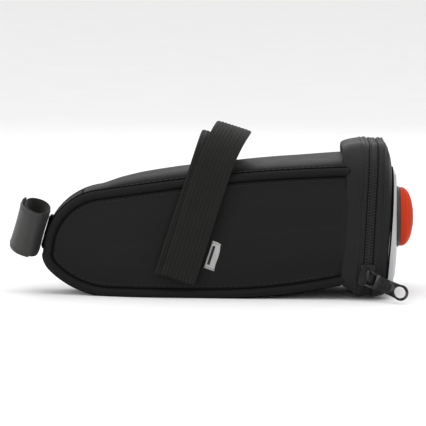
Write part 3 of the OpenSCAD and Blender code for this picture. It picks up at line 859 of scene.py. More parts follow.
top_seams()


# ---- Padded band round the mouth ----

def band_rows(profile):
    """Closed rows round the band, each from how far back it is, its margin, and the extra margin
    at its top and its foot. The top of the front edge stands forward."""
    rows = []
    for back, margin, top, foot in profile:
        line = band_outline(margin, top_extra=top, low_extra=foot)
        forward = 2.4 * max(0.0, 1 - back / 7) * smooth_step(line[:, 1], 62, 84)
        rows.append(at_mouth(back - forward, line[:, 0], line[:, 1]))
    return np.array(rows)


def pucker(rows, seed, size, middle_rows):
    """Presses small uneven waves into a padded band."""
    middle = rows.mean(1, keepdims=True)
    away = unit(rows - middle)
    wave = soft_ripple(band_run[None, :], np.arange(len(rows))[:, None] * 4.0, 24, seed)
    fine = soft_ripple(band_run[None, :], np.arange(len(rows))[:, None] * 9.0, 7, seed + 1)
    hold = np.zeros(len(rows))
    hold[middle_rows] = 1
    return rows + away * ((wave * size + fine * size * 0.35) * hold[:, None])[..., None]


def band_piece(name, outer, inner, body, node):
    """A padded half of the band, lined inside."""
    stock = Stock()
    depth = lengths_along(outer[:, 10])
    cloth = np.stack(np.broadcast_arrays(band_run[None, :], depth[:, None]), -1)
    stock.wall(outer, inner, cloth, around=True, finish=0, lining=1)
    piece = stock.piece(name, [band_cloth, lining_cloth], body, "bag_fabric", sharp=60)
    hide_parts(node)


# (how far back, margin, extra margin at the top, lift of the foot)
front_outer = band_rows([
    (1.8, 9.0, 3.4, 0), (1.1, 6.4, 1.6, 1.0), (0.5, 4.4, 0.8, 2.4), (0.15, 3.3, 0.9, 3.2),
    (0.5, 2.3, 1.2, 4.0), (1.4, 1.4, 1.3, 4.4), (2.8, 0.75, 1.2, 4.4), (4.6, 0.3, 0.9, 3.9),
    (6.6, 0.05, 0.5, 3.1), (8.6, -0.08, 0.25, 2.1), (9.2, 0.1, 0.15, 1.8), (9.6, 0.24, 0.1, 1.6),
    (10.0, 0.1, 0.05, 1.4), (11.0, -0.05, 0, 1.0), (11.9, 0.12, 0, 0.7), (12.35, 0.5, 0, 0.4),
    (12.2, 1.1, 0, 0.1), (11.9, 1.4, 0, 0),
])
front_inner = band_rows([
    (2.6, 9.0, 3.4, 0), (2.5, 6.8, 1.6, 1.0), (2.4, 5.6, 0.9, 2.4), (2.4, 5.0, 1.0, 3.2),
    (2.5, 4.6, 1.2, 3.9), (2.9, 3.8, 1.3, 4.2), (3.6, 3.2, 1.2, 4.0), (4.8, 2.8, 0.9, 3.6),
    (6.6, 2.6, 0.5, 3.0), (8.4, 2.5, 0.25, 2.0), (9.0, 2.5, 0.15, 1.8), (9.6, 2.4, 0.1, 1.6),
    (10.0, 2.4, 0.05, 1.4), (10.6, 2.3, 0, 1.0), (11.0, 2.2, 0, 0.7), (11.4, 2.1, 0, 0.4),
    (11.6, 2.0, 0, 0.1), (11.7, 1.9, 0, 0),
])
front_outer = pucker(front_outer, 21, 0.2, slice(5, 14))
band_piece("mouth_band_padding", front_outer, front_inner, "bag", "front_band")


# ---- Lid: band, rear edge and the reflective pad ----

def lid_rear(up):
    """How far back the rear plane is, at a height up the band."""
    return (lid_plane - mouth_foot[0] - up * math.sin(mouth_lean)) / math.cos(mouth_lean)


def lid_row(back_share, from_rear, margin, extra=0.0, foot=0.0):
    """A closed row of the lid: a share of its depth, or a distance in front of the rear plane."""
    line = band_outline(margin, top_extra=extra, low_extra=foot)
    rear = lid_rear(line[:, 1])
    if from_rear is None:
        back = lid_start + (rear - lid_start) * back_share
    else:
        back = rear - from_rear
    return at_mouth(back, line[:, 0], line[:, 1])


PAD_TOP, PAD_FOOT = 12.0, 4.4


def corner_row(turn, inward):
    """A row of the lid's rear corner, from its side (0) to its rear face (90 degrees)."""
    back = 1 - math.sin(math.radians(turn))
    draw = 1 - math.cos(math.radians(turn))
    foot = 1.6 + 2.8 * math.sin(math.radians(turn))
    return lid_row(0, inward + 0.9 + 5.6 * back, inward * 0.4 + 3.8 * draw - 0.1,
                   PAD_TOP * draw + 0.3, foot)


def lid_rows(inward=0.0):
    """Rows of the lid's cloth, from the zip round its rear corner to the reflective pad."""
    rows = []
    for back, margin in ((0.3, 1.4), (0.05, 1.1), (0.1, 0.5), (0.55, 0.12), (1.5, -0.05)):
        line = band_outline(max(margin, -0.1) + inward, low_extra=0.3 * back)
        rows.append(at_mouth(lid_start + back + min(inward, 1.0) * 0.4, line[:, 0], line[:, 1]))
    rows.append(lid_row(0.24, None, inward - 0.08, 0.1, 0.8))
    rows.append(lid_row(0.36, None, inward + 0.22, 0.1, 1.1))
    rows.append(lid_row(0.42, None, inward - 0.05, 0.1, 1.3))
    rows += [corner_row(turn, inward) for turn in (14, 26, 38, 50, 62, 74, 86)]
    for from_rear, margin, extra in ((1.0, 5.0, PAD_TOP + 0.4), (1.1, 6.0, PAD_TOP + 0.8),
                                     (1.7, 7.0, PAD_TOP + 1.2), (2.3, 8.0, PAD_TOP + 1.6)):
        rows.append(lid_row(0, inward + from_rear, margin + inward * 0.3, extra, PAD_FOOT))
    return np.array(rows)


lid_outer = pucker(lid_rows(), 31, 0.14, slice(5, 15))
band_piece("lid_band_padding", lid_outer, lid_rows(1.7), "lid", "lid_band")

pad_edge = lid_row(0, 0.9, 6.2, PAD_TOP + 0.8, PAD_FOOT)
pad_count = pad_edge.shape[0]


def pad_dome(points):
    """Stand-off of the reflective pad from the rear plane."""
    side = points[:, 1] / 33
    up = (points[:, 2] - light_middle[2]) / 44
    return 3.1 - 2.6 * np.abs(up) ** 2.2 - 3.2 * np.abs(side) ** 2.3


def pad_rows(drop):
    """Rows of the pad's rear face, from its edge in to the hole for the light."""
    middle = np.array([0, light_middle[2]])
    toward = pad_edge[:, 1:] - middle
    hole = unit(toward) * 14.6
    rows = []
    for share in (0, 0.02, 0.05, 0.1, 0.18, 0.28, 0.4, 0.52, 0.64, 0.76, 0.88, 1):
        flat = toward * (1 - share) + hole * share
        place = np.column_stack([np.zeros(pad_count), flat + middle])
        rounding = 1.3 * (1 - smooth_step(share, -0.005, 0.07))
        ripple = soft_ripple(flat[:, 0], flat[:, 1], 26, 41) * 0.16 * smooth_step(share, 0, 0.2)
        stand = np.maximum(pad_dome(place), -0.4) + ripple
        place[:, 0] = lid_plane + stand - rounding - drop
        rows.append(place)
    return np.array(rows)


def pad_wrap(drop):
    """Rows of the pad lapped round the lid's corners, deeper toward the foot."""
    corner = np.array([corner_row(turn, drop - 0.4) for turn in range(20, 87, 6)])
    count = len(corner) - 1
    depth = np.clip((72 - pad_edge[:, 2]) / 60, 0, 1) * smooth_step(np.abs(pad_edge[:, 1]), 14, 26)
    rows = []
    for share in (0, 0.2, 0.4, 0.6, 0.8, 1):
        spot = count * (1 - depth * (1 - share))
        low = np.minimum(spot.astype(int), count - 1)
        part = (spot - low)[:, None]
        pick = np.arange(pad_count)
        rows.append(corner[low, pick] * (1 - part) + corner[low + 1, pick] * part)
    return np.array(rows)


def reflective_pad():
    """The silver rear face, pressed in round the light, and the piping at its edge."""
    face = pad_rows(0)
    lap = pad_wrap(0)
    seat_gap = np.linalg.norm(face[..., 1:] - light_middle[1:], axis=-1)
    face[..., 0] -= 0.5 * (1 - smooth_step(seat_gap, 15, 20))
    outer = np.concatenate([lap, face])
    inner = np.concatenate([pad_wrap(0.6), pad_rows(1.6)])
    cloth = np.concatenate([lap[..., 1:] + lap[..., :1] * 0.3, face[..., 1:]])
    stock = Stock()
    stock.wall(outer[:, ::-1], inner[:, ::-1], cloth[:, ::-1], around=True)
    piece = stock.piece("reflective_pad_cloth", [silver_cloth], "lid", "reflective", sharp=60)
    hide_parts("reflective_pad")
    stock = Stock()
    stock.tube(lap[0] + unit(lap[0] * [0, 1, 0]) * 0.35, 0.5, 7, closed=True)
    stock.piece("reflective_pad_piping", piping_cloth_painted_shade, "lid", "bag_fabric")


reflective_pad()


# ---- Seams and stitches of the band ----

BAND_MIDDLE_HEIGHT = 42


def stitch_loop(stock, line, shift=0.1):
    """A closed row of stitches that faces away from the band's middle."""
    path = np.concatenate([line, line[:1]])
    middle = np.array([line[:, 0].mean(), 0, BAND_MIDDLE_HEIGHT])
    stitch_run(stock, path, unit(path - middle), lift=shift)


def band_seams():
    """Stitches along both halves of the band, and the piping where the band meets the bag."""
    stock = Stock()
    for line in band_rows([(8.3, -0.06, 0.28, 2.2), (10.7, -0.02, 0, 1.1)]):
        stitch_loop(stock, line)
    stock.piece("band_topstitch", black_thread, "bag", "bag_fabric")
    rows = lid_rows()
    stock = Stock()
    stitch_loop(stock, rows[4], 0.04)
    stitch_loop(stock, rows[7], 0.1)
    path = np.concatenate([rows[16], rows[16][:1]])
    stitch_run(stock, path, np.broadcast_to([1.0, 0, 0], path.shape), lift=0.1)
    stock.piece("lid_topstitch", black_thread, "lid", "bag_fabric")
    stock = Stock()
    stock.tube(band_rows([(0.45, 4.0, 1.0, 2.8)])[0], 0.5, 7, closed=True)
    stock.piece("mouth_seam_piping", piping_cloth_painted_shade, "bag", "bag_fabric")


band_seams()


# ---- Zip: tapes, teeth, stops ----

def zip_line(margin, low, count=None):
    """The zip's line up the left side, over the top and down the right, as (side, up)."""
    line = band_outline(margin)
    start = len(line) // 2
    line = np.concatenate([line[start:], line[:start]])
    foot = int(np.argmin(np.linalg.norm(line - [0, margin], axis=1)))
    left, right = line[:foot][::-1], line[foot:][::-1]
    line = np.concatenate([left[left[:, 1] > low], right[right[:, 1] > low]])
    if count:
        line = respaced(line, count)
    return line


def zip_tape(name, backs, margins, body, node):
    """One tape of the zip, from inside the band to its edge under the teeth."""
    thick, foot = 0.5, 8.6

    def tape_rows(depth):
        lines = [zip_line(margin + depth, foot, 300) for margin in margins]
        return np.array([at_mouth(back, *line.T) for back, line in zip(backs, lines)])

    stock = Stock()
    outer, inner = tape_rows(0), tape_rows(thick)
    run = lengths_along(outer[0])
    cloth = np.stack(np.broadcast_arrays(run[None], np.array(backs, float)[:, None]), -1)
    stock.wall(outer, inner, cloth)
    piece = stock.piece(name, [tape_cloth], body, "zip_tape", sharp=60)
    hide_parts(node)


front_backs = np.array([4.6, 8.0, 11.2, 12.6, 13.4, 14.1, zip_middle - 0.5])
lid_backs = 2 * zip_middle - front_backs
lid_backs[0] = lid_start + 5.6
tape_margins = np.array([2.6, 2.3, 1.6, 0.85, 0.5, 0.5, 0.9])
zip_tape("zip_tape_cloth_front", front_backs, tape_margins, "bag", "zip_tape_front")
zip_tape("zip_tape_cloth_lid", lid_backs, tape_margins, "lid", "zip_tape_lid")

TOOTH_PITCH = 1.6
zip_path = zip_line(0.5, 10.5, 1200)
zip_run = lengths_along(zip_path)
tooth_count = int(zip_run[-1] / TOOTH_PITCH)


def zip_teeth(name, direction, body, node):
    """Half the coil: each tooth a loop of nylon, its head past the middle of the zip."""
    stock = Stock()
    across = np.array([2.05, 1.9, 1.2, 0.3, -0.3, -0.55])
    lift = np.array([-0.3, 0.0, 0.05, 0.0, -0.1, -0.35])
    size = np.array([0.2, 0.27, 0.28, 0.28, 0.34, 0.24])
    for k in range(tooth_count):
        place = (k + 0.5 + direction * 0.25) * TOOTH_PITCH
        spot = np.array([np.interp(place, zip_run, zip_path[:, i]) for i in range(2)])
        nearby = np.array([np.interp(place + 0.4, zip_run, zip_path[:, i]) for i in range(2)])
        along = unit(nearby - spot)
        away = np.array([-along[1], along[0]])
        back = zip_middle + direction * across
        path = at_mouth(back, spot[0] + away[0] * lift, spot[1] + away[1] * lift)
        outward = at_mouth(0, *away) - at_mouth(0, 0, 0)
        stock.tube(path, size, 6, normals=np.broadcast_to(outward, path.shape))
    for shift in (0.95, 1.75):
        path = at_mouth(zip_middle + direction * shift, *zip_line(0.28, 10.5, 500).T)
        stock.tube(path, 0.16, 5, finish=1)
    piece = stock.piece(name, [coil_nylon, black_thread], body, "zip_coil", sharp=50)
    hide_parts(node)


zip_teeth("zip_teeth_front", -1, "bag", "zip_coil_front")
zip_teeth("zip_teeth_lid", 1, "lid", "zip_coil_lid")


def zip_stops(name, direction, body, node):
    """A crimped metal stop at each end of the coil."""
    stock = Stock()
    for side in (LEFT, RIGHT):
        for up in (8.9, 9.9):
            across = np.array([0.75, 0.85, 1.6, 2.3, 2.4])
            lift = np.array([1.7, 0.85, 0.6, 0.85, 1.7])
            path = at_mouth(zip_middle + direction * across, side * (band_half - lift), up)
            stock.tube(path, 0.42, 8, normals=np.broadcast_to([0, 0.1, 1.0], path.shape))
    piece = stock.piece(name, [stop_metal], body, "zip_metal", sharp=50)
    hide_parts(node)


zip_stops("zip_stops_metal_front", -1, "bag", "zip_stops_front")
zip_stops("zip_stops_metal_lid", 1, "lid", "zip_stops_lid")


# ---- Hinge cloth at the lid's foot ----

def hinge_rows():
    """Cloth between the two halves of the band, round the foot up to where the zip starts."""
    line = band_outline(0.35)
    low = line[:, 1] < 8.3
    split = len(line) // 2
    right = line[:split][low[:split]]
    left = line[split:][low[split:]]
    path = respaced(np.concatenate([left, right]), 90)
    flatness = 1 - smooth_step(path[:, 1], 0.8, 2.4)
    rows = []
    for share, dip in ((0, 0.5), (0.15, 0.1), (0.35, 0.35), (0.5, 0.6), (0.65, 0.35),
                       (0.8, 0.1), (0.9, 0.1), (1, 0.5)):
        back = front_band_back - 0.9 + share * (lid_start - 0.3 - front_band_back + 0.9)
        back = back + share * flatness * 1.5
        inward = unit(np.array([0, BAND_MIDDLE_HEIGHT]) - path) * dip
        spot = path + inward
        rows.append(at_mouth(back, spot[:, 0], spot[:, 1]))
    return np.array(rows)


hinge_cloth = hinge_rows()
inner_hinge = hinge_cloth + unit(np.array([105, 0, BAND_MIDDLE_HEIGHT]) - hinge_cloth) * 0.7
stock = Stock()
stock.wall(hinge_cloth, inner_hinge)
hinge_piece = stock.piece("lid_hinge_cloth", [bag_cloth], None, "bag_fabric", sharp=60)
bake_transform(hinge_piece)
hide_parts("hinge_strip")


# ---- Rear board inside the lid ----

def rear_board():
    """A stiff plate behind the reflective pad, with the hole for the light."""
    edge = lid_row(0, 0.0, 6.4, PAD_TOP + 1.2, PAD_FOOT)
    middle = np.array([0, light_middle[2]])
    toward = edge[:, 1:] - middle
    hole = unit(toward) * 13.8

    def plate_rows(back, shrink):
        rows = []
        for share in (shrink, 0.3, 0.6, 1):
            flat = toward * (1 - share) + hole * share
            rows.append(np.column_stack([np.full(len(edge), back), flat + middle]))
        return np.array(rows)

    stock = Stock()
    stock.wall(plate_rows(lid_plane - 0.6, 0.0)[:, ::-1], plate_rows(lid_plane - 2.0, 0.02)[:, ::-1],
               around=True)
    piece = stock.piece("rear_board_plate", [stiff_board], "lid", "board", sharp=50)
    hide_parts("rear_board")


rear_board()


# ---- Straps ----

LEG_TOP = 68.7
STRAP_WIDTH = 20.0
STRAP_THICK = 1.6
LAYER_STAND = 1.95
STRAP_TOP = 88.5
LAYER_RISE = 5
LAYER_CROSS = 3.0
LAYER_PEEP = 3.5
LAYER_SWING = 3.5


def strap_shift(layer, side):
    """How far each leg stands to the rear of the strap's own line."""
    return layer * LAYER_CROSS if side == RIGHT else (layer - 1) * LAYER_PEEP


def strap_leg_side(height, layer, side):
    """How far the middle of a leg is from the bag's middle."""
    x = rail_strap_x(height, strap_shift(layer, side))
    return half_width(x) + LAYER_STAND * (1 + layer)


def strap_path(layer, left_end, right_end):
    """A strap's middle line: up the left side, over the bag through the rails, down the right."""
    def leg(side, first, last):
        z = np.linspace(first, last, 46)
        return np.stack([rail_strap_x(z, strap_shift(layer, side)),
                         side * strap_leg_side(z, layer, side), z], -1)

    top = STRAP_TOP + layer * LAYER_RISE
    left, right = leg(LEFT, left_end, LEG_TOP), leg(RIGHT, LEG_TOP, right_end)
    turn = np.radians(np.linspace(0, 180, 91))
    part = -np.sign(np.cos(turn)) * np.abs(np.cos(turn)) ** 0.8
    z = LEG_TOP + (top - LEG_TOP) * np.sin(turn) ** 0.8
    shift = strap_shift(layer, RIGHT) * (1 + part) / 2 + strap_shift(layer, LEFT) * (1 - part) / 2
    shift = shift + layer * LAYER_SWING * (1 - part ** 2)
    foot = strap_leg_side(LEG_TOP, layer, LEFT) * (1 - part) / 2 \
        + strap_leg_side(LEG_TOP, layer, RIGHT) * (1 + part) / 2
    arch = np.stack([rail_strap_x(z, shift), foot * part, z], -1)
    return np.concatenate([left[:-1], arch, right[1:]])


def relaxed(path, rounds):
    """Rounds a path's sharp turns, with its ends kept."""
    path = path.copy()
    for _ in range(rounds):
        path[1:-1] = path[1:-1] * 0.5 + (path[:-2] + path[2:]) * 0.25
    return path


def ribbon(stock, path, across, width, thick, ribs=0, rib_depth=0.0, curl=0.0, finish=0,
           under=0):
    """Flat webbing along a path. ribs are woven along its length on both faces."""
    run = tangents(path)
    across = unit(across - (across * run).sum(1)[:, None] * run)
    normal = np.cross(run, across)
    cells = max(ribs, 5)
    spots = np.linspace(-1, 1, cells * (6 if ribs else 4) + 1)
    height = thick / 2 * np.minimum(1, (1 - np.abs(spots) ** 14))
    if ribs:
        height = height - rib_depth * (1 - np.abs(np.sin(spots * ribs * math.pi / 2)) ** 0.7)
    height = np.maximum(height, thick * 0.16)
    face = np.stack([spots * width / 2, height], -1)
    back = np.stack([spots[::-1] * width / 2, -height[::-1]], -1)
    ring = np.concatenate([face, back])
    bow = curl * (1 - (ring[:, 0] * 2 / width) ** 2)
    place = (path[:, None] + across[:, None] * ring[None, :, 0, None]
             + normal[:, None] * (ring[:, 1] + bow)[None, :, None])
    reach = lengths_along(path)
    cloth = np.stack(np.broadcast_arrays(ring[None, :, 0], reach[:, None]), -1)
    first = stock.add(place, cloth)
    count = len(ring)
    index = first + np.arange(len(path) * count).reshape(len(path), count)
    half = len(spots)
    stock.weave_faces(index[:, :half], finish=finish)
    stock.weave_faces(np.concatenate([index[:, half - 1:], index[:, :1]], 1), finish=under)
    stock.cap(index[0], finish, flip=True)
    stock.cap(index[-1], finish)


def strap_across(path):
    """The way across a rail strap: it leans with the strap and lies along the bag's taper."""
    turn = np.clip(path[:, 1] / 20, -1, 1) * MOUTH_WIDENING / 166
    return unit(np.stack([np.full(len(path), math.cos(RAIL_STRAP_LEAN)), turn,
                          np.full(len(path), -math.sin(RAIL_STRAP_LEAN))], -1))


def strap_wander(path, size, seed):
    """Small uneven bends, so that the webbing doesn't look ruled."""
    run = lengths_along(path)
    hold = np.sin(math.pi * np.clip(run / run[-1], 0, 1)) ** 0.5
    wave = soft_ripple(run, run * 0, 70, seed) * size * hold
    return path + np.stack([wave, wave * 0, wave * 0.3], -1)


def sew_strap(name, layer, left_end, right_end, body, nodes, seed):
    """A rail strap, from the height of its left end over the rails to that of its right end."""
    path = relaxed(strap_path(layer, left_end, right_end), 10)
    path = strap_wander(respaced(path, 230), 0.5, seed)
    stock = Stock()
    ribbon(stock, path, strap_across(path), STRAP_WIDTH, STRAP_THICK, ribs=10, rib_depth=0.42)
    piece = stock.piece(name, [strap_webbing], body, "webbing", sharp=75)
    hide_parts(*nodes)
    return piece


sew_strap("rail_strap_lower", 0, 11, 30, "bag", ["strap_lower"], 51)
upper_strap = sew_strap("rail_strap_upper", 1, 11, 11, None, ["strap_upper", "strap_upper_tab"],
                        52)
peel = joint_place("rail_tab_peel")
leg_up = unit(np.array([rail_lean, -0.035, 1.0]))
tuple((peel + leg_up * 2.5) * MM)
tuple((peel - leg_up * 1.5) * MM)
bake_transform(upper_strap)


def bar_tack(stock, middle, across, along, outward, width, rows=5):
    """A dense zigzag of thread that holds webbing down."""
    zig = np.linspace(-0.5, 0.5, 26)
    for row in range(rows):
        shift = (row - (rows - 1) / 2) * 0.55
        lift = 0.1 + 0.12 * np.abs(np.sin(zig * 40))
        path = (middle + across * (zig * width)[:, None]
                + along * (shift + 0.22 * np.where(np.arange(26) % 2, 1, -1))[:, None]
                + outward * lift[:, None])
        stock.tube(path, 0.17, 5, normals=np.broadcast_to(outward, path.shape))


def strap_tacks():
    """Bar tacks through the straps' sewn ends on the right side."""
    stock = Stock()
    along = unit(np.array([rail_lean, 0.03, 1.0]))
    across = unit(np.array([1.0, 0.096, -rail_lean]))
    for layer, height in ((1, 15.0), (1, 21.0), (0, 33.0)):
        x = rail_strap_x(height, strap_shift(layer, RIGHT))
        y = strap_leg_side(height, layer, RIGHT) + STRAP_THICK / 2
        bar_tack(stock, np.array([x, y, height]), across, along, np.array([0, 1.0, 0]), 16)
    stock.piece("strap_bar_tacks", black_thread, "bag", "webbing", sharp=60)


def strap_anchor_pads():
    """The sewn pad under the straps' feet on each side."""
    low, high, half = 12.0, 24.0, 8.2
    for side, word in SIDES:
        stock = Stock()
        layer = 0 if side == LEFT else 1
        spots = np.linspace(-half, half, 15)
        outer = []
        for height in np.linspace(low, high, 14):
            x = rail_strap_x(height, strap_shift(layer, side)) + spots
            edge = np.minimum(half - np.abs(spots), np.minimum(height - low, high - height))
            stand = 0.75 + 0.3 * np.clip(edge / 1.5, 0, 1) + layer * STRAP_THICK
            z = height - spots * rail_lean
            outer.append(np.stack([x, side * (half_width(x) + stand), z], -1))
        outer = np.array(outer)
        inner = outer.copy()
        inner[..., 1] -= side * 1.4
        if side == RIGHT:
            outer, inner = outer[:, ::-1], inner[:, ::-1]
        stock.wall(outer, inner)
        pad = stock.piece("strap_anchor_pad_" + word, [strap_webbing], "bag", "webbing")
        if side == LEFT:
            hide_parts("strap_pads")


strap_tacks()
strap_anchor_pads()


# ---- Seatpost strap ----

POST_LEAN = math.radians(16)
post_out = np.array([-math.cos(POST_LEAN), 0, math.sin(POST_LEAN)])
post_up = np.array([math.sin(POST_LEAN), 0, math.cos(POST_LEAN)])
post_start = np.array([-76.77, 0, 35.0])
POST_WIDTH = 25.0
POST_TIP = 0.22
FLAP_MARGIN = 1.95


def post_point(turn, margin):
    """A place on the loop, at a turn in degrees from its front."""
    turn = np.radians(turn)
    side = (12.5 + margin) * np.sin(turn)
    return (post_start + post_out * (7 + (7 + margin) * np.cos(turn))[:, None]
            + np.array([0, 1.0, POST_TIP]) * side[:, None])


def post_ribbon(name, body, node, first, last, margin):
    """A stretch of the hook and loop strap between two turns of the loop."""
    steps = 110
    path = post_point(np.linspace(first, last, steps), margin)
    share = np.linspace(0, 1, steps)
    wave = soft_ripple(share * 60, share * 0, 34, 61) * 0.35
    path = path + post_up * wave[:, None]
    stock = Stock()
    ribbon(stock, path, np.broadcast_to(post_up, path.shape), POST_WIDTH, 1.4, curl=-0.25, under=1)
    piece = stock.piece(name, [hook_cloth, loop_cloth], body, "hook_strap", sharp=60)
    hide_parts(node)


post_ribbon("seatpost_strap_loop", "bag", "seatpost_strap", 179, -179, 0.0)
post_ribbon("seatpost_strap_flap", "seatpost_tab", "seatpost_strap_tab", 46, -100, FLAP_MARGIN)


def post_stitches(name, body, first, last, margin):
    """A row of stitches along each edge of the strap."""
    stock = Stock()
    turn = np.linspace(first, last, 160)
    path = post_point(turn, margin + 0.66)
    outward = unit(path - post_point(turn, margin - 4.0))
    for row in (-10.9, 10.9):
        stitch_run(stock, path + post_up * row, outward, 1.9, 0.7, 0.15, 0.08)
    stock.piece(name, grey_thread, body, "hook_strap")


post_stitches("seatpost_loop_stitches", "bag", 178, 50, 0.0)
post_stitches("seatpost_flap_stitches", "seatpost_tab", 43, -97, FLAP_MARGIN)


def nose_anchor():
    """Folded cloth sewn over the strap where it meets the nose, with a box of stitches."""
    stock = Stock()
    half_high, half_wide = 9.5, 4.6
    side = np.linspace(-half_wide, half_wide, 11)
    rows = []
    for lift in np.linspace(-half_high, half_high, 14):
        edge = np.minimum(half_high - abs(lift), half_wide - np.abs(side))
        puff = 0.9 * smooth_step(edge, -0.1, 1.4)
        spot = post_start + post_up * lift - post_out * 1.2
        height = spot[2]
        nose = nose_middle[0] - math.sqrt(nose_round ** 2 - (height - nose_middle[1]) ** 2)
        x = min(nose, spot[0] + 1.0)
        place = np.stack([side * 0 + x, side, side * 0 + height], -1)
        rows.append(place + post_out * (puff[:, None] + 0.5))
    rows = np.array(rows)
    stock.wall(rows, rows - post_out * 1.8)
    piece = stock.piece("seatpost_anchor_patch", [piping_cloth_painted_shade, bag_cloth], "bag", "bag_fabric")
    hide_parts("seatpost_anchor")
    stock = Stock()
    for shift in (-7.5, 0.0, 7.5):
        bar_tack(stock, post_start + post_up * shift + post_out * 1.0, np.array([0, 1.0, 0]),
                 post_up, post_out, 7.0, 3)
    stock.piece("seatpost_anchor_tacks", grey_thread, "bag", "bag_fabric", sharp=60)


nose_anchor()


# ---- Zip slider and puller ----

def turned(axis, degrees):
    return Matrix.Rotation(math.radians(degrees), 4, axis)


slider_middle = at_mouth(zip_middle, -band_half, 13.5)
slider_frame = Matrix.Translation(Vector(slider_middle)) @ turned("Y", math.degrees(mouth_lean))
puller_frame = (slider_frame @ Matrix.Translation((0, -0.35 - 1.3 - 1.3, -1.4))
                @ turned("Y", 18) @ turned("Z", -30))


def placed(matrix, points):
    points = np.asarray(points, float)
    grid = np.array(matrix)
    return points @ grid[:3, :3].T + grid[:3, 3]


def plate(outline, holes, front, back, bevel):
    """A flat plate in X and Z with rounded edges; front and back are its faces along Y."""
    work = bmesh.new()
    edges = []
    for ring in [outline, *holes]:
        spots = [work.verts.new((x, front, z)) for x, z in ring]
        edges += [work.edges.new((spots[i], spots[(i + 1) % len(spots)]))
                  for i in range(len(spots))]
    bmesh.ops.triangle_fill(work, edges=edges, use_beauty=True)
    bmesh.ops.recalc_face_normals(work, faces=work.faces)
    grown = bmesh.ops.extrude_face_region(work, geom=list(work.faces))
    spots = [item for item in grown["geom"] if isinstance(item, bmesh.types.BMVert)]
    bmesh.ops.translate(work, verts=spots, vec=(0, back - front, 0))
    bmesh.ops.recalc_face_normals(work, faces=work.faces)
    sharp = [edge for edge in work.edges
             if len(edge.link_faces) == 2 and edge.calc_face_angle(0) > math.radians(35)]
    bmesh.ops.bevel(work, geom=sharp, offset=bevel, segments=2, affect="EDGES", profile=0.6,
                    clamp_overlap=True)
    work.verts.ensure_lookup_table()
    work.verts.index_update()
    points = np.array([vert.co for vert in work.verts])
    faces = []
    for face in work.faces:
        ring = [vert.index for vert in face.verts]
        first = ring.index(min(ring))
        faces.append(ring[first:] + ring[:first])
    work.free()
    return points, sorted(faces)


def metal_piece(name, parts, body, node):
    """Joins plates and tubes into one cast piece. Each part is (points, faces)."""
    points, rows, first = [], [], 0
    for spots, faces in parts:
        points.append(spots)
        rows += [[index + first for index in face] for face in faces]
        first += len(spots)
    mesh = bpy.data.meshes.new(name)
    mesh.from_pydata((np.concatenate(points) * MM).tolist(), [], rows)
    mesh.materials.append(gun_metal)
    mesh.polygons.foreach_set("use_smooth", np.ones(len(mesh.polygons), bool))
    mesh.set_sharp_from_angle(angle=math.radians(42))
    mesh.update()
    thing = bpy.data.objects.new(name, mesh)
    bpy.context.scene.collection.objects.link(thing)
    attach(thing, body)
    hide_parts(node)


def plate_part(matrix, *measures):
    points, faces = plate(*measures)
    return placed(matrix, points), faces


def tube_part(path, radius, sides=10, squeeze=1.0, normals=None):
    stock = Stock()
    stock.tube(path, radius, sides, squeeze=squeeze, normals=normals)
    return (np.concatenate(stock.points),
            [list(dict.fromkeys(row)) for row in np.concatenate(stock.faces).tolist()])


def slider_outline(grow):
    half = np.array([
        [-3.0, -6.0], [-4.3, -5.4], [-5.0, -4.2], [-5.0, -2.2], [-4.6, -0.4], [-4.0, 1.6],
        [-3.7, 3.6], [-3.7, 5.0], [-3.1, 5.8], [-1.4, 6.0],
    ])
    ring = np.concatenate([half, half[::-1] * [-1, 1]])
    return ring * (1 - grow / 5)


def zip_slider():
    """The slider: two plates, the raised face, the post between them, rails and the bail."""
    under = 1.4 + 0.8 + 0.35
    post = np.array([[-0.45, 0.0], [0.45, 0.0], [0.45, 4.0], [-0.45, 4.0]])
    parts = [plate_part(slider_frame, slider_outline(0), [], -1.65, -0.5, 0.42),
             plate_part(slider_frame, slider_outline(1.6), [], -1.9, -1.3, 0.2),
             plate_part(slider_frame, slider_outline(0), [], under, under + 1.0, 0.3),
             plate_part(slider_frame, post, [], -0.6, under + 0.2, 0.08)]
    for side in (-1, 1):
        rail = [[side * half, -0.75, up] for half, up in
                ((4.75, -4.6), (4.7, -2.4), (4.1, 0.2), (3.6, 2.6), (3.5, 5.2))]
        parts.append(tube_part(placed(slider_frame, rail), 0.42, 8))
    turn = np.radians(np.linspace(6, 174, 22))
    bail = np.stack([np.zeros(22), -1.5 - 3.1 * np.sin(turn), 3.4 * np.cos(turn)], -1)
    across = np.array(slider_frame.to_3x3() @ Vector((1, 0, 0)))
    normals = np.broadcast_to(across, bail.shape)
    parts.append(tube_part(placed(slider_frame, bail), 0.72, 10, 1.25, normals))
    metal_piece("zip_slider_cast", parts, "slider", "zip_slider")


def rounded(ring, radius, steps=5):
    """Rounds the corners of a closed outline."""
    ring = np.asarray(ring, float)
    out = []
    for k in range(len(ring)):
        before, here, after = ring[k - 1], ring[k], ring[(k + 1) % len(ring)]
        reach = min(radius, np.linalg.norm(here - before) * 0.48,
                    np.linalg.norm(after - here) * 0.48)
        start = here + unit(before - here) * reach
        end = here + unit(after - here) * reach
        for share in np.linspace(0, 1, steps):
            out.append(start * (1 - share) ** 2 + here * 2 * share * (1 - share)
                       + end * share ** 2)
    return np.array(out)


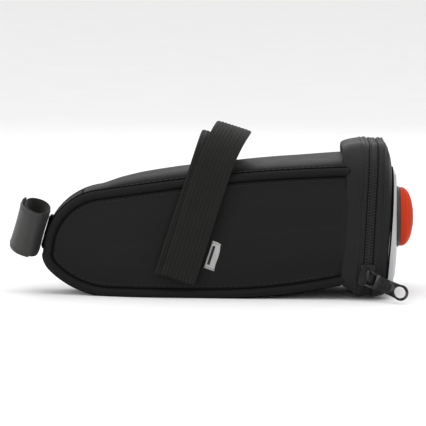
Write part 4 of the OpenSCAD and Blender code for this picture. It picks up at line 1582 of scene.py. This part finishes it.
def zip_puller():
    """The puller: a flat plate with an eye for the bail, a raised panel and a ring at its tip."""
    tip = 22.1
    body = rounded([[-0.55, -4.4], [6.4, -4.4], [7.4, -4.0], [13.0, -3.8], [18.0, -4.1]], 0.8)
    turn = np.radians(np.linspace(-112, 112, 30))
    ring_end = np.stack([tip + 4.4 * np.cos(turn), 4.4 * np.sin(turn)], -1)
    outline = np.concatenate([body[:-5], ring_end, (body[:-5] * [1, -1])[::-1]])
    eye = rounded([[0.55, -3.3], [5.3, -3.3], [5.3, 3.3], [0.55, 3.3]], 0.9)
    turn = np.radians(np.linspace(0, 360, 32, endpoint=False))
    hole = np.stack([tip - 0.6 + 3.75 * np.cos(turn), 3.1 * np.sin(turn)], -1)
    panel = rounded([[7.2, -2.7], [15.6, -2.4], [15.6, 2.4], [7.2, 2.7]], 0.9)
    parts = [plate_part(puller_frame, outline, [eye, hole], -0.55, 0.55, 0.26),
             plate_part(puller_frame, panel, [], -0.78, -0.3, 0.18)]
    metal_piece("zip_puller_cast", parts, "puller", "zip_puller")


zip_slider()
zip_puller()


# ---- Rear light ----

def spun(stock, start, profile):
    """A turned shape round the light's axis from (back from a start, radius) pairs."""
    profile = np.asarray(profile, float) + [start, 0]
    turn = np.linspace(0, 2 * math.pi, 72, endpoint=False)
    back, radius = profile[:, 0], profile[:, 1]
    rows = np.stack(np.broadcast_arrays(back[:, None], radius[:, None] * np.cos(turn)[None],
                                        light_middle[2] + radius[:, None] * np.sin(turn)[None]),
                    -1)
    stock.grid(rows, around=True)


def lens():
    """The domed red lens, ribbed inside, with a hole for the push button."""
    turn = np.radians(np.linspace(0, 75, 18))
    dome = np.stack([1.1 + 6.6 * np.sin(turn), light_radius * np.cos(turn) ** 0.85], -1)
    dome = np.concatenate([[[0.02, light_radius - 0.25], [0.2, light_radius]], dome,
                           [[7.58, 5.4], [7.5, 4.86], [6.6, 4.78]]])
    inside = dome[2:-1] - [1.35, 0]
    inside[:, 1] = np.maximum(inside[:, 1] - 1.3, 5.2)
    ribs = 0.22 * np.cos(np.arange(len(inside)) * math.pi)[:, None] * np.array([[1.0, 0]])
    inside = np.concatenate([[[0.02, light_radius - 1.5]], inside + ribs])
    stock = Stock()
    spun(stock, lens_low[0], np.concatenate([dome, inside[::-1], dome[:1]]))
    piece = stock.piece("red_lens", [red_lens], "lid", "lens", sharp=35)
    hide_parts("light_lens")


def push_button():
    """The dished button in the lens, with its stem back to the switch."""
    stock = Stock()
    spun(stock, lens_low[0] + 7.75, [
        [-9.0, 0.05], [-9.0, 1.5], [-3.4, 1.5], [-3.2, 5.6], [-2.3, 5.7], [-2.2, 4.6],
        [-0.55, 4.6], [-0.2, 4.4], [-0.05, 3.9], [-0.05, 3.4], [-0.25, 3.0], [-0.35, 2.0],
        [-0.3, 1.0], [-0.12, 0.8], [-0.05, 0.05]])
    piece = stock.piece("push_button", [red_button], "button", "button", sharp=35)
    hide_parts("light_button")


def light_base():
    """The black bezel round the lens, notched for grip, and the pot behind it for the cell."""
    seat = node_box("light_housing")[1][0] - 2.2
    rim = light_radius
    stock = Stock()
    spun(stock, seat, [
        [-0.4, 13.6], [-0.1, rim + 0.25], [0.35, rim + 0.62], [1.1, rim + 0.62],
        [1.7, rim + 0.35], [2.1, rim + 0.1], [2.18, rim - 1.4], [1.5, rim - 1.6], [1.4, 13.0],
        [-0.4, 12.4], [-8.4, 12.3], [-8.5, 13.4], [-0.5, 13.5]])
    for turn in np.radians(np.arange(0, 360, 15)):
        ridge = rim + 0.55
        spot = np.array([seat + 0.75, ridge * math.cos(turn),
                         light_middle[2] + ridge * math.sin(turn)])
        stock.tube([spot - [0.5, 0, 0], spot + [0.5, 0, 0]], 0.28, 6)
    spun(stock, seat, [[-2.7, 12.4], [-2.7, 10.6], [-3.7, 10.6], [-3.7, 12.4]])
    piece = stock.piece("light_bezel_and_pot", [black_housing], "lid", "housing", sharp=35)
    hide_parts("light_housing")


lens()
push_button()
light_base()

CAD_COATS = {
    "light_ring_nut": black_housing, "light_board": green_board, "light_leds": clear_led,
    "light_switch": switch_plastic, "battery": cell_steel, "battery_contact": contact_brass,
    "battery_door": black_housing, "battery_door_screws": stop_metal, "belly_board": stiff_board,
}
for node, coat in CAD_COATS.items():
    frame["nodes"][node].data.materials.clear()
    frame["nodes"][node].data.materials.append(coat)


# ---- Label ----

def sewn_label():
    """A folded woven label, plain but for one dark bar, with a line of stitches at each end."""
    middle = np.array([19.0, 24.0])
    along = unit(np.array([rail_lean, 1.0]))
    across = np.array([along[1], -along[0]])
    length, width = 16.0, 6.0
    rows = []
    for share in np.linspace(-0.5, 0.5, 33):
        row = []
        for side in np.linspace(-0.5, 0.5, 13):
            edge = min(0.5 - abs(side), (0.5 - abs(share)) * length / width)
            stand = 1.0 + 0.32 * float(smooth_step(edge, -0.01, 0.08))
            stand += 0.1 * math.sin(share * 9 + side * 3)
            spot = middle + along * share * length + across * side * width
            row.append([spot[0], -(half_width(spot[0]) + stand), spot[1]])
        rows.append(row)
    rows = np.array(rows)
    thick, bar_thick = 1.2, 0.3
    stock = Stock()
    stock.wall(rows[:, ::-1], rows[:, ::-1] + [0, thick, 0])
    piece = stock.piece("plain_woven_label", [label_cloth], "bag", "label", sharp=60)
    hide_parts("label")
    stock = Stock()
    bar = rows[5:28, 2:6] + [0, -0.08, 0]
    stock.wall(bar[:, ::-1], bar[:, ::-1] + [0, bar_thick, 0])
    stock.piece("label_bar_weave", [label_bar], "bag", "label", sharp=60)
    stock = Stock()
    for row in (2, 30):
        stitch_run(stock, rows[row], np.broadcast_to([0, -1.0, 0], rows[row].shape), 0.9, 0.4,
                   0.13, 0.08)
    stock.piece("label_stitches", [black_thread], "bag", "label", sharp=60)


sewn_label()


# ---- Camera, light and floor ----

def camera():
    """Looks at the left side from a little above. frame_width is what it takes in at the bag."""
    glass = bpy.data.cameras.new("camera")
    glass.sensor_width = 36
    eye = bpy.data.objects.new("camera", glass)
    bpy.context.scene.collection.objects.link(eye)
    height = math.radians(6.0)
    target = Vector((18.8, -20, 47)) * MM
    distance, frame_width = 2.2, 0.2366
    eye.location = target + distance * Vector((0, -math.cos(height), math.sin(height)))
    eye.rotation_euler = (math.pi / 2 - height, 0, 0)
    glass.lens = glass.sensor_width * (distance - 0.016) / frame_width
    glass.clip_start = 0.01
    bpy.context.scene.camera = eye


def lamp(name, place, target, size, power):
    """A soft white light, turned toward a target."""
    data = bpy.data.lights.new(name, "AREA")
    data.shape = "RECTANGLE"
    data.size, data.size_y = size
    data.energy = power
    thing = bpy.data.objects.new(name, data)
    thing.location = place
    thing.rotation_euler = (Vector(target) - Vector(place)).to_track_quat("-Z", "Y").to_euler()
    bpy.context.scene.collection.objects.link(thing)


camera()
lamp("softbox_above", (0.05, -0.15, 0.9), (0.02, 0, 0.04), (0.9, 0.7), 2.6)
lamp("softbox_left", (-0.9, -0.35, 0.45), (0, 0, 0.04), (0.5, 0.6), 1.4)
lamp("softbox_right", (0.8, -0.7, 0.5), (0, 0, 0.04), (0.5, 0.5), 1.2)
lamp("softbox_behind", (0.2, 0.9, 0.5), (0.02, 0, 0.05), (0.7, 0.5), 1.0)

world = bpy.data.worlds.new("studio")
bpy.context.scene.world = world
world.use_nodes = True
world.node_tree.nodes["Background"].inputs["Color"].default_value = (1, 1, 1, 1)
world.node_tree.nodes["Background"].inputs["Strength"].default_value = 1.0


def studio_floor():
    """One pale sheet: floor in front, curved up behind."""
    coat = Coat("studio_floor_paint", Specular_IOR_Level=0.2)
    grain = coat.noise(coat.place(), 0.02, 2)
    paint = coat.finish(Base_Color=coat.mix(grain, (0.86, 0.86, 0.86), (0.9, 0.9, 0.9)),
                        Roughness=grain * 0.1 + 0.8)
    profile = [(-4.0, 0), (3.2, 0), (3.6, 0.05), (3.9, 0.25), (4.0, 0.6), (4.0, 3.0)]
    rows = np.array([[(-4, y, z), (4, y, z)] for y, z in profile])
    stock = Stock()
    stock.grid(rows / MM, flip=True)
    stock.piece("studio_floor", [paint], None, "bag_fabric", sharp=180)


studio_floor()
